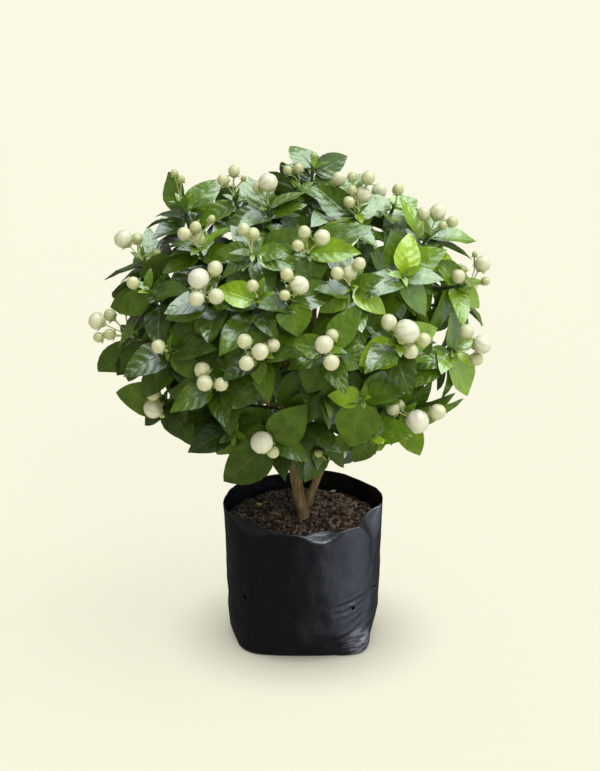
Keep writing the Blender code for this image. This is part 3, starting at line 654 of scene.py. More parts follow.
def corner_height(angle, height):
    """The folded corners of the floor, in mm."""
    total = np.zeros_like(angle)
    for middle, half_width, edge, out, slope in CORNER_FOLDS:
        side = degrees_from(angle, middle) / half_width
        upper = edge * (0.58 + 0.42 * side)
        window = hill(side * 0.9) ** 0.5 * (np.abs(side) < 1.0)
        total += out * ease((upper - height) / slope) * window
    return total


ahead = np.radians([RIM_DENTS[0][0]])
print("the front dent tips in by", float(dent_depth(ahead, 0.0)[0]), "mm")

# %% [markdown]
# ### From film to bag
#
# The open film gets its creases, then `solidify` gives it a thickness on the inside. The drain
# holes are cut last, with one Boolean and a collection of short cylinders.

# %% Make the film
BAG_STEPS = 220
BAG_ROWS = 78
# Where the wall ends and the rows of the floor begin: share of the radius and height in mm.
WALL_FOOT = 7.0
FLOOR_EDGE = (
    (0.994, 5.0),
    (0.982, 2.2),
    (0.965, 0.7),
    (0.94, 0.0),
    (0.85, 0.0),
    (0.5, 0.0),
    (0.0, 0.0),
)
# Depths in mm: broad and fine lumps, and creases, with the room that they need inside the solid.
BROAD_LUMP = 1.3
FINE_LUMP = 0.55
CREASE_DEPTH = 1.1
LUMP_ROOM = 0.9
# Heights in mm: where the wall starts to follow the rim's wave, and where its front starts to sag.
WAVE_FROM = 92.0
SAG_FROM = 140.0
FRONT_SAG = (-78.0, 20.0, 2.0)


def bag_film():
    """The creased film as an open sheet."""
    top = BAG_HEIGHT / MM
    wall = [(1.0, (top - (top - WALL_FOOT) * row / BAG_ROWS) * MM) for row in range(BAG_ROWS + 1)]
    floor_rows = [(share, height * MM) for share, height in FLOOR_EDGE]
    mesh = turned_mesh("bag", wall + floor_rows, BAG_STEPS)
    share, angle, height = polar(mesh)
    rise = height / MM
    radius = bag_radius(angle, height)
    stands = ease(rise / 12.0)
    soft = BROAD_LUMP * lumps(radius, angle, height * 0.45, 26.0)
    soft = soft + FINE_LUMP * lumps(radius, angle, height, 70.0, 9.0)
    creased = np.abs(lumps(radius, angle, height * 0.6, 34.0, 4.0))
    inward = dent_depth(angle, top - rise) + corner_pull(angle, rise)
    inward += CREASE_DEPTH * (0.35 - creased) * stands + LUMP_ROOM
    outward = wrinkle_height(angle, rise) + soft * stands + corner_height(angle, rise)
    radius = radius * share + (outward - inward) * MM * np.minimum(1.0, share * share)
    lift = rim_lift(angle) * ease((rise - WAVE_FROM) / (top - WAVE_FROM))
    middle, half_width, depth = FRONT_SAG
    sag = depth * MM * hill(degrees_from(angle, middle) / half_width)
    lift = lift - sag * ease((rise - SAG_FROM) / (top - SAG_FROM))
    set_polar(mesh, radius, angle, height + lift)
    return mesh


print("the film has", BAG_STEPS, "columns and", BAG_ROWS + len(FLOOR_EDGE), "rows")

# %% Punch the drain holes
def drained(mesh):
    """The film with its drain holes."""
    bag = set_up("bag_film", mesh)
    punches = bpy.data.collections.new("punches")
    for degrees, height in DRAIN_HOLES:
        angle = math.radians(degrees)
        reach = float(bag_radius(angle, height * MM))
        shape = new_shape()
        sizes = {"radius1": DRAIN_RADIUS, "radius2": DRAIN_RADIUS, "depth": PUNCH_LENGTH}
        bmesh.ops.create_cone(shape, cap_ends=True, segments=14, **sizes)
        place = Matrix.Translation((reach * math.cos(angle), reach * math.sin(angle), height * MM))
        turn = Matrix.Rotation(angle, 4, "Z") @ Matrix.Rotation(math.pi / 2.0, 4, "Y")
        bmesh.ops.transform(shape, matrix=place @ turn, verts=shape.verts)
        punches.objects.link(bpy.data.objects.new("punch", finished_mesh("punch", shape)))
    cut = bag.modifiers.new("drain", "BOOLEAN")
    cut.operation = "DIFFERENCE"
    cut.operand_type = "COLLECTION"
    cut.collection = punches
    cut.solver = "MANIFOLD"
    pierced = evaluated_mesh(bag)
    bpy.data.objects.remove(bag, do_unlink=True)
    for punch in list(punches.objects):
        bpy.data.objects.remove(punch, do_unlink=True)
    bpy.data.collections.remove(punches)
    return pierced


film_shape = new_shape()
film_shape.from_mesh(bag_film())
bmesh.ops.solidify(film_shape, geom=film_shape.faces, thickness=BAG_FILM)
bag_mesh = drained(finished_mesh("bag", film_shape))
print("the bag has", len(bag_mesh.polygons), "faces")

# %% [markdown]
# ### The film's finish
#
# Black film is dark grey where it catches the sky and nearly black elsewhere. Handling leaves a
# little pale dust. The folded corner at the right front gets a pale, bluish painted highlight
# where it would catch the sky. The gloss is broad, so the roughness stays in the middle and
# varies a little.

# %% Finish the bag
FILM_BLACK = (0.0034, 0.0035, 0.0044)
FILM_DUSTY = (0.012, 0.013, 0.017)
SPECK = (0.10, 0.095, 0.085)
# Where the folded corner at the right front gets its painted highlight, and the highlight's colour.
FOLD_CORNER = (0.061, -0.056, 0.012)
FOLD_SHEEN = (0.205, 0.200, 0.245)

film = Finish("black_film", Specular_IOR_Level=0.75)
dust = film.between(film.noise(38.0, 5.0, stretch=(1.0, 1.0, 0.45)), 0.50, 0.80)
film_colour = film.blend(dust, FILM_BLACK, FILM_DUSTY)
specks = film.between(film.noise(420.0, 2.0), 0.70, 0.78)
film_colour = film.blend(film.math("MULTIPLY", specks, 0.45), film_colour, SPECK)
# A painted highlight on the folded corner, pale and bluish like the sky it would reflect, broken up by
# crinkle noise.
near_fold = film.between(film.measure("DISTANCE", film.place, FOLD_CORNER), 0.023, 0.012)
fold_sheen_crinkle = film.between(film.noise(150.0, 5.0, stretch=(0.5, 0.5, 2.2)), 0.44, 0.62)
fold_sheen_crinkle = film.math("MULTIPLY", near_fold, fold_sheen_crinkle)
film_colour = film.blend(film.math("MULTIPLY", fold_sheen_crinkle, 0.7), film_colour, FOLD_SHEEN)
film_relief = film.relief(film.noise(180.0, 5.0, stretch=(1.0, 1.0, 0.6)), 0.0012, 0.35)
film_relief = film.relief(film.noise(1100.0, 2.0), 0.0002, 0.3, film_relief)
film.surface(film_colour, film.wander(60.0, 0.30, 0.42, 4.0), film_relief)
dress("grow_bag", bag_mesh, [film.material], "bag", "bag")
print("the bag is dressed in black film")

# %% [markdown]
# ## The soil
#
# The potting soil is a brown mix of crumbs, fibre and small chips, filled to about 14 mm below the
# rim and a little higher round the trunk. A closed plug gives the body, with a lumpy top from
# layered noise. Loose crumbs, a few fibres, one pale chip and one yellow scrap of leaf lie on it,
# each a small closed shape of its own, because noise alone never casts such small shadows.

# %% Make the plug of soil
SOIL_HEIGHT = 142 * MM
SOIL_CLEARANCE = 5.5 * MM
SOIL_STEPS = 150
SOIL_RINGS = 46
# The plug's side and bottom: share of the radius and height in mm.
SOIL_SIDE = (
    (1.0, 120.0),
    (1.0, 92.0),
    (1.0, 60.0),
    (1.0, 38.0),
    (1.0, 19.0),
    (0.96, 9.0),
    (0.88, 3.0),
    (0.0, 3.0),
)


def soil_level(x, y):
    """The soil's height at a place, in metres."""
    reach = math.hypot(x, y) / BAG_RIM_RADIUS
    place = Vector((x, y, 0.0))
    coarse = 3.2 * noise.noise(place * 42.0) + 2.2 * noise.noise(place * 110.0 + UP * 3.0)
    fine = 1.3 * noise.noise(place * 260.0 + UP * 7.0) + 0.6 * noise.noise(place * 520.0)
    mound = 3.0 * (1.0 - reach * reach) - 3.0 * reach**6
    return SOIL_HEIGHT + (coarse + fine + mound - 1.0) * MM


top_rings = [(ring / SOIL_RINGS, SOIL_HEIGHT) for ring in range(SOIL_RINGS + 1)]
side_rings = [(share, height * MM) for share, height in SOIL_SIDE]
soil_mesh = turned_mesh("soil", top_rings + side_rings, SOIL_STEPS)
soil_share, soil_angle, soil_z = polar(soil_mesh)
soil_radius = soil_share * (bag_radius(soil_angle, soil_z) - SOIL_CLEARANCE)
for index, (reach, angle, z) in enumerate(zip(soil_radius, soil_angle, soil_z)):
    if z > SOIL_HEIGHT - MM:
        soil_z[index] = soil_level(reach * math.cos(angle), reach * math.sin(angle))
set_polar(soil_mesh, soil_radius, soil_angle, soil_z)
print("the soil has", len(soil_mesh.polygons), "faces")

# %% Shapes of loose things
CRUMBS = 1700
CRUMB_SIZE = (1.0, 2.7)
CRUMB_DENT = 0.65
FIBRES = 60
FIBRE_THICKNESS = (0.4, 0.5, 0.7, 1.1)
# In mm: how far loose things lie from the middle, the trunk's foot and the room left round it.
SOIL_EDGE = 78.0
TRUNK_FOOT = Vector((0.0, -12.0, 0.0))
TRUNK_ROOM = 11.0


def crumb_mesh(rng, place, size):
    """One crumb: a small ball of 35 faces, squashed and dented."""
    shape = new_shape("tone")
    bmesh.ops.create_uvsphere(shape, u_segments=7, v_segments=5, radius=size * MM)
    seed = scatter(rng, 50.0)
    shade = rng.random()
    tone = shape.verts.layers.float["tone"]
    for corner in shape.verts:
        corner.co *= 1.0 + CRUMB_DENT * noise.noise(corner.co / (size * MM) * 0.9 + seed)
        corner[tone] = shade
    sides = (rng.uniform(0.8, 1.4), rng.uniform(0.7, 1.1), rng.uniform(0.55, 0.9), 1.0)
    spin = Matrix.Rotation(rng.uniform(0.0, math.tau), 4, "Z")
    turn = spin @ Matrix.Rotation(rng.uniform(-1.0, 1.0), 4, "X")
    place = Matrix.Translation(place) @ turn @ Matrix.Diagonal(sides)
    bmesh.ops.transform(shape, matrix=place, verts=shape.verts)
    return finished_mesh("crumb", shape)


def flake_mesh(place, size, bearing, curl):
    """A thin curled flake, made from a flattened ball."""
    shape = new_shape()
    bmesh.ops.create_uvsphere(shape, u_segments=12, v_segments=6, radius=MM)
    bmesh.ops.scale(shape, vec=size, verts=shape.verts)
    for corner in shape.verts:
        corner.co.z += curl * corner.co.x**2 / (size[0] * MM)
        corner.co.y *= 1.0 - 0.45 * max(0.0, corner.co.x / (size[0] * MM))
    turn = Matrix.Rotation(math.radians(bearing), 4, "Z") @ Matrix.Rotation(0.3, 4, "X")
    bmesh.ops.transform(shape, matrix=Matrix.Translation(place) @ turn, verts=shape.verts)
    return finished_mesh("flake", shape)


def soil_spot(rng):
    """A random place on the soil, clear of the trunk."""
    while True:
        angle = rng.uniform(0.0, math.tau)
        reach = SOIL_EDGE * math.sqrt(rng.random())
        spot = Vector((reach * math.cos(angle), reach * math.sin(angle), 0.0))
        if (spot - TRUNK_FOOT).length > TRUNK_ROOM:
            return spot * MM


def on_soil(spot, above):
    """The place so far above the soil at a spot."""
    return Vector((spot.x, spot.y, soil_level(spot.x, spot.y) + above))


def fibre_line(rng):
    """Points of a fibre that wanders outwards over the soil and ends at its edge."""
    spot = soil_spot(rng)
    heading = math.atan2(spot.y - TRUNK_FOOT.y * MM, spot.x) + rng.uniform(-0.7, 0.7)
    points = []
    for _ in range(5):
        heading += rng.uniform(-0.3, 0.3)
        ahead = Vector((math.cos(heading), math.sin(heading), 0.0))
        spot = spot + ahead * rng.uniform(2.0, 4.5) * MM
        if spot.length > SOIL_EDGE * MM:
            break
        points.append(on_soil(spot, rng.uniform(1.2, 2.4) * MM))
    return points


print("loose things lie within", SOIL_EDGE, "mm of the middle")

# %% Scatter crumbs and fibres
soil_rng = random.Random(41)
crumbs = new_shape("tone")
for _ in range(CRUMBS):
    size = soil_rng.uniform(*CRUMB_SIZE)
    spot = on_soil(soil_spot(soil_rng), soil_rng.uniform(0.0, 0.5) * size * MM)
    join_into(crumbs, crumb_mesh(soil_rng, spot, size))
fibres = new_shape()
for _ in range(FIBRES):
    points = fibre_line(soil_rng)
    if len(points) > 2:
        thick = soil_rng.choice(FIBRE_THICKNESS) * MM
        path, sizes = flowing(points, [thick] * len(points), 4)
        join_into(fibres, tube_mesh("fibre", path, sizes, 1))
print("loose on the soil:", CRUMBS, "crumbs and up to", FIBRES, "fibres")

# %% [markdown]
# ### The soil's finish
#
# The soil is painted darker on the left, where the crown and the bag's wall shade it, and paler
# towards the right, where the light comes from: painted shade and painted light. The colour mixes
# three browns by noise, and each crumb carries a tone of its own as an attribute. The plug has no
# tone, which reads as 0, so that it stays dark between the crumbs as painted shade in the gaps.

# %% Finish the soil
SHADED_SOIL = (0.016, 0.012, 0.007)

soil_finish = Finish("potting_soil", Specular_IOR_Level=0.25)
# The plug reads a tone of 0, so it comes out dark brown: painted shade in the gaps between crumbs.
crumb_tone = soil_finish.math("MULTIPLY_ADD", soil_finish.attribute("tone"), 0.50, 0.08)
crumb_tone = soil_finish.math("MULTIPLY_ADD", soil_finish.noise(160.0, 6.0), 0.5, crumb_tone)
brown = soil_finish.ramp(
    crumb_tone,
    (0.28, (0.016, 0.010, 0.007)),
    (0.50, (0.086, 0.053, 0.034)),
    (0.86, (0.310, 0.218, 0.150)),
)
# Painted shade: the soil is darkened on the left and kept as it is on the right, with noise along the
# border.
to_right = soil_finish.split(soil_finish.place)[0]
lit_share = soil_finish.math("MULTIPLY_ADD", to_right, 5.0, soil_finish.noise(20.0))
lit_share = soil_finish.between(lit_share, 0.25, 0.65)
brown = soil_finish.blend(lit_share, soil_finish.blend(0.62, brown, SHADED_SOIL), brown)
grit = soil_finish.relief(soil_finish.noise(700.0, 5.0), 0.001, 0.8)
soil_finish.surface(brown, soil_finish.wander(300.0, 0.75, 0.98), grit)
dress("soil_plug", soil_mesh, [soil_finish.material], "soil", "soil")
crumbs_mesh = finished_mesh("soil_crumbs", crumbs, False)
dress("soil_crumbs", crumbs_mesh, [soil_finish.material], "soil")
print("the soil is dressed")

# %% [markdown]
# Fibres, chips and green stems need less: two colours by noise, a gloss that wanders a little and
# a fine grain. One function makes such a finish for all of them.

# %% Finish the loose things
STRAW = ((0.10, 0.060, 0.035), (0.30, 0.20, 0.12))
YELLOWED = ((0.20, 0.24, 0.020), (0.42, 0.42, 0.040))
CHALK = ((0.34, 0.29, 0.23), (0.62, 0.56, 0.47))


def two_tone(name, specular, tones, patches, gloss, grain=None, stops=(0.3, 0.7)):
    """A finish of two colours in patches, with gloss as (scale, low, high) and a grain."""
    finish = Finish(name, Specular_IOR_Level=specular)
    colour = finish.ramp(finish.noise(*patches), *zip(stops, tones))
    relief = finish.relief(finish.noise(grain[0]), *grain[1:]) if grain else None
    return finish.surface(colour, finish.wander(*gloss), relief)


straw = two_tone("dry_fibre", 0.3, STRAW, (120.0, 4.0), (90.0, 0.6, 0.9), (900.0, 0.0004, 0.5))
yellow = two_tone("yellowed_leaf", 0.4, YELLOWED, (300.0,), (200.0, 0.45, 0.65), stops=(0.35, 0.65))
chalk = two_tone("pale_chip", 0.3, CHALK, (400.0,), (300.0, 0.6, 0.85), (900.0, 0.0004, 0.5))
dress("soil_fibres", finished_mesh("soil_fibres", fibres, False), [straw], "soil")
scrap_place = on_soil(millimetres((-49.0, 23.0, 0.0)), 4.0 * MM)
scrap = flake_mesh(scrap_place, (5.0, 3.4, 0.5), bearing=70.0, curl=-0.35)
dress("soil_leaf_scrap", scrap, [yellow], "soil")
chip_place = on_soil(millimetres((34.6, 62.0, 0.0)), 3.6 * MM)
chip = flake_mesh(chip_place, (3.6, 2.0, 1.4), bearing=20.0, curl=0.25)
dress("soil_chip", chip, [chalk], "soil")
print("the fibres, the scrap and the chip are dressed")

# %% [markdown]
# ## The trunk
#
# The trunk is about as thick as a finger. It forks just above the soil, and its limbs spread into
# the crown, where they carry the leafy branches. Wood like this is easiest as tubes along curves:
# the stems follow the same few points as the solid, joined by smooth curves instead of straight
# lines. Swellings where old leaves sat, a little noise along the normals and lengthwise grain in
# the finish then make bark of them.

# %% Paths of the stems
# Points and radii in mm.
MAIN_STEM = (
    (0, -12, 112),
    (0, -12, 147),
    (-4, -12, 168),
    (-9, -11, 198),
    (-14, -8, 236),
    (-16, -3, 278),
)
MAIN_RADII = (7.2, 7.2, 6.7, 6.2, 5.5, 4.4)
SIDE_STEM = ((1, -12, 152), (8, -13, 170), (16, -13, 192), (26, -10, 228), (36, -6, 268))
SIDE_RADII = (4.8, 4.5, 4.3, 4.1, 3.7)
LIMB_RADII = (3.6, 3.0, 2.6, 2.2)
LIMB_RISE = 0.3
SHOOT_BEND = 0.45
CROWN_CENTRE = Vector((-10, 0, 390)) * MM
CROWN_RADII = Vector((205, 190, 165)) * MM

# Where each limb starts and ends: its parent stem, the share of the way up it, and its end in mm.
LIMBS = {
    "left_top": ("main", 0.86, (-80, -32, 392)),
    "left": ("main", 0.78, (-88, -38, 338)),
    "left_low": ("main", 0.66, (-72, -48, 296)),
    "front_top": ("main", 0.985, (-32, -38, 415)),
    "front": ("main", 0.94, (-34, -74, 356)),
    "front_low": ("main", 0.70, (-10, -62, 286)),
    "top": ("side", 1.00, (22, -28, 424)),
    "right_top": ("side", 0.90, (84, -24, 392)),
    "right": ("side", 0.76, (82, -52, 340)),
    "right_low": ("side", 0.58, (62, -54, 292)),
    "back_left": ("main", 0.82, (-78, 52, 362)),
    "back_top": ("main", 0.95, (-10, 46, 412)),
    "back_right": ("side", 0.84, (78, 50, 362)),
    "back_low": ("main", 0.74, (-4, 60, 292)),
}
print("the trunk has two stems and", len(LIMBS), "limbs")

# %% Rules for paths
def crown_out(point):
    """The direction that leads straight out of the crown at a point."""
    offset = point - CROWN_CENTRE
    return Vector(offset[i] / CROWN_RADII[i] ** 2 for i in range(3)).normalized()


def bent_path(start, tip, heading, steps):
    """Points from a fork to a tip that is reached along its heading."""
    knee = tip - heading * SHOOT_BEND * (tip - start).length
    path = []
    for step in range(steps + 1):
        t = step / steps
        path.append(start * (1 - t) ** 2 + knee * 2 * t * (1 - t) + tip * t * t)
    return path


def along_path(path, share):
    """The point at a share of the way along a path, counted by its length."""
    lengths = [(b - a).length for a, b in zip(path, path[1:])]
    left = share * sum(lengths)
    for (a, b), length in zip(zip(path, path[1:]), lengths):
        if left <= length:
            return a.lerp(b, left / length)
        left -= length
    return path[-1].copy()


def below_tip(path, depth):
    """The point and the heading at a distance down a path from its tip."""
    left = depth
    for b, a in zip(reversed(path[1:]), reversed(path[:-1])):
        length = (b - a).length
        if left <= length:
            return b.lerp(a, left / length), (b - a).normalized()
        left -= length
    return path[0].copy(), (path[1] - path[0]).normalized()


def limb_path(name, steps=len(LIMB_RADII) - 1):
    """A limb leaves its stem and ends headed away from the trunk."""
    parent, share, end = LIMBS[name]
    stem = [millimetres(point) for point in (MAIN_STEM if parent == "main" else SIDE_STEM)]
    start = along_path(stem, share)
    tip = millimetres(end)
    heading = (crown_out(tip) + UP * LIMB_RISE).normalized()
    return bent_path(start, tip, heading, steps)


limb_length = round(path_length(limb_path("left")) / MM)
print("the limb at the left is", limb_length, "mm long")

# %% Make the wood
LIMB_STEPS = 15
NODE_SPACING = 26 * MM
BARK_LUMP = 0.45 * MM


def knotty(path, sizes, spacing, swell, seed):
    """Radii with a swelling at every node of the stem."""
    rng = random.Random(seed)
    next_node = spacing * rng.uniform(0.3, 0.9)
    nodes = []
    while next_node < path_length(path):
        nodes.append(next_node)
        next_node += spacing * rng.uniform(0.7, 1.3)
    gone = 0.0
    thick = [sizes[0]]
    for a, b, size in zip(path, path[1:], sizes[1:]):
        gone += (b - a).length
        near = max([float(hill((gone - node) / (0.22 * spacing))) for node in nodes] + [0.0])
        thick.append(size * (1.0 + swell * near))
    return thick


def roughened(mesh, lump, scale):
    """Bark: every corner moves a little along its normal, more along the grain than across it."""
    moves = []
    for vertex in mesh.vertices:
        place = vertex.co * scale
        grain = noise.noise(Vector((place.x, place.y, place.z * 0.35)))
        pits = noise.noise(place * 2.7 + UP * 5.0)
        moves.append(vertex.co + vertex.normal * lump * (grain + 0.5 * pits))
    for vertex, place in zip(mesh.vertices, moves):
        vertex.co = place
    return mesh


wood = new_shape()
for seed, points, radii in ((5, MAIN_STEM, MAIN_RADII), (6, SIDE_STEM, SIDE_RADII)):
    path, sizes = flowing([millimetres(p) for p in points], [r * MM for r in radii], 10)
    stem = tube_mesh("stem", path, knotty(path, sizes, NODE_SPACING, 0.14, seed), 8)
    join_into(wood, roughened(stem, BARK_LUMP, 90.0))
for seed, name in enumerate(LIMBS, 20):
    path = limb_path(name, LIMB_STEPS)
    shares = [step / LIMB_STEPS * (len(LIMB_RADII) - 1) for step in range(LIMB_STEPS + 1)]
    sizes = [float(np.interp(share, range(len(LIMB_RADII)), LIMB_RADII)) * MM for share in shares]
    limb = tube_mesh(name, path, knotty(path, sizes, NODE_SPACING, 0.16, seed), 4)
    join_into(wood, roughened(limb, 0.6 * BARK_LUMP, 150.0))
print("the wood has", len(wood.faces), "faces")

# %% [markdown]
# ### Inner twigs
#
# Deep in the crown, where little light comes, old side twigs have dropped their leaves and dried
# brown. They show in the gaps between the lower leaves. Each one leaves a limb, wanders outwards
# and forks once.

# %% Make the twigs
TWIGS = 46
TWIG_RADIUS = (0.7, 1.2)
TWIG_LENGTH = (34, 74)


def twig_path(rng, start, heading, length):
    """A wandering line of five points."""
    points = [start]
    for _ in range(4):
        heading = (heading + scatter(rng) * 0.35).normalized()
        points.append(points[-1] + heading * length / 4.0)
    return points


twig_rng = random.Random(17)
twigs = new_shape()
limb_names = list(LIMBS)
for number in range(TWIGS):
    limb = limb_path(limb_names[number % len(limb_names)], LIMB_STEPS)
    start, heading = below_tip(limb, twig_rng.uniform(0.0, 0.8) * (limb[-1] - limb[0]).length)
    outward = (crown_out(start) + scatter(twig_rng, 0.8)).normalized()
    length = twig_rng.uniform(*TWIG_LENGTH) * MM
    points = twig_path(twig_rng, start, (heading * 0.4 + outward).normalized(), length)
    radius = twig_rng.uniform(*TWIG_RADIUS) * MM
    path, sizes = flowing(points, [radius * (1.0 - 0.14 * step) for step in range(5)], 3)
    join_into(twigs, tube_mesh("twig", path, sizes, 1))
    fork = twig_path(twig_rng, points[2], outward.cross(heading).normalized(), length * 0.4)
    path, sizes = flowing(fork, [radius * (0.75 - 0.12 * step) for step in range(5)], 2)
    join_into(twigs, tube_mesh("twig", path, sizes, 0))
print(TWIGS, "twigs have", len(twigs.faces), "faces")

# %% [markdown]
# ### The bark's finish
#
# Young jasmine bark is tan with a grey bloom, finely ribbed along the stem, with darker streaks and
# small pale pores. The grain is noise stretched along Z, which is nearly the stem's direction where
# the bark can be seen.

# %% Finish the wood
def bark_finish(name, dark, middle, pale):
    bark = Finish(name, Specular_IOR_Level=0.3)
    grain = bark.noise(260.0, 5.0, stretch=(1.0, 1.0, 0.16), distortion=0.4)
    patches = bark.noise(55.0, 4.0)
    colour = bark.ramp(grain, (0.30, dark), (0.52, middle), (0.74, pale))
    shade = bark.between(patches, 0.35, 0.65)
    colour = bark.blend(shade, bark.blend(0.45, colour, dark), colour)
    pores = bark.between(bark.noise(620.0, 1.0), 0.66, 0.72)
    colour = bark.blend(bark.math("MULTIPLY", pores, 0.5), colour, pale)
    relief = bark.relief(grain, 0.0008, 0.4)
    relief = bark.relief(bark.noise(900.0, 3.0), 0.0003, 0.4, relief)
    return bark.surface(colour, bark.between(patches, 0.3, 0.7, 0.6, 0.85), relief)


TAN_BROWNS = ((0.130, 0.085, 0.034), (0.270, 0.185, 0.086), (0.40, 0.295, 0.160))
DRY_BROWNS = ((0.035, 0.018, 0.010), (0.10, 0.055, 0.028), (0.20, 0.125, 0.075))
tan_bark = bark_finish("tan_bark", *TAN_BROWNS)
dry_bark = bark_finish("dry_twig_bark", *DRY_BROWNS)
dress("forked_trunk", finished_mesh("forked_trunk", wood, False), [tan_bark], "bark", "trunk")
dress("inner_twigs", finished_mesh("inner_twigs", twigs, False), [dry_bark], "bark")
print("the wood is dressed in bark")

# %% [markdown]
# ## Where everything grows
#
# The frame's leafy branches are solids, in which leaves and stems are already one. To replace each
# blade with a finer one in just the same place, this lesson repeats the rule that the solids grew
# by: a table of shoots, each with its buds and its large leaves, and one seed for each shoot. The
# table gives a shoot's tip (right, back, up) in mm, its buds (right, up, diameter) in mm and its
# large leaves (clock angle in degrees, length, width), the last two as somebody sees them who
# stands before the shoot. A row may leave out what it has none of. The first shoot of a branch is
# its leader, and the others fork from it.

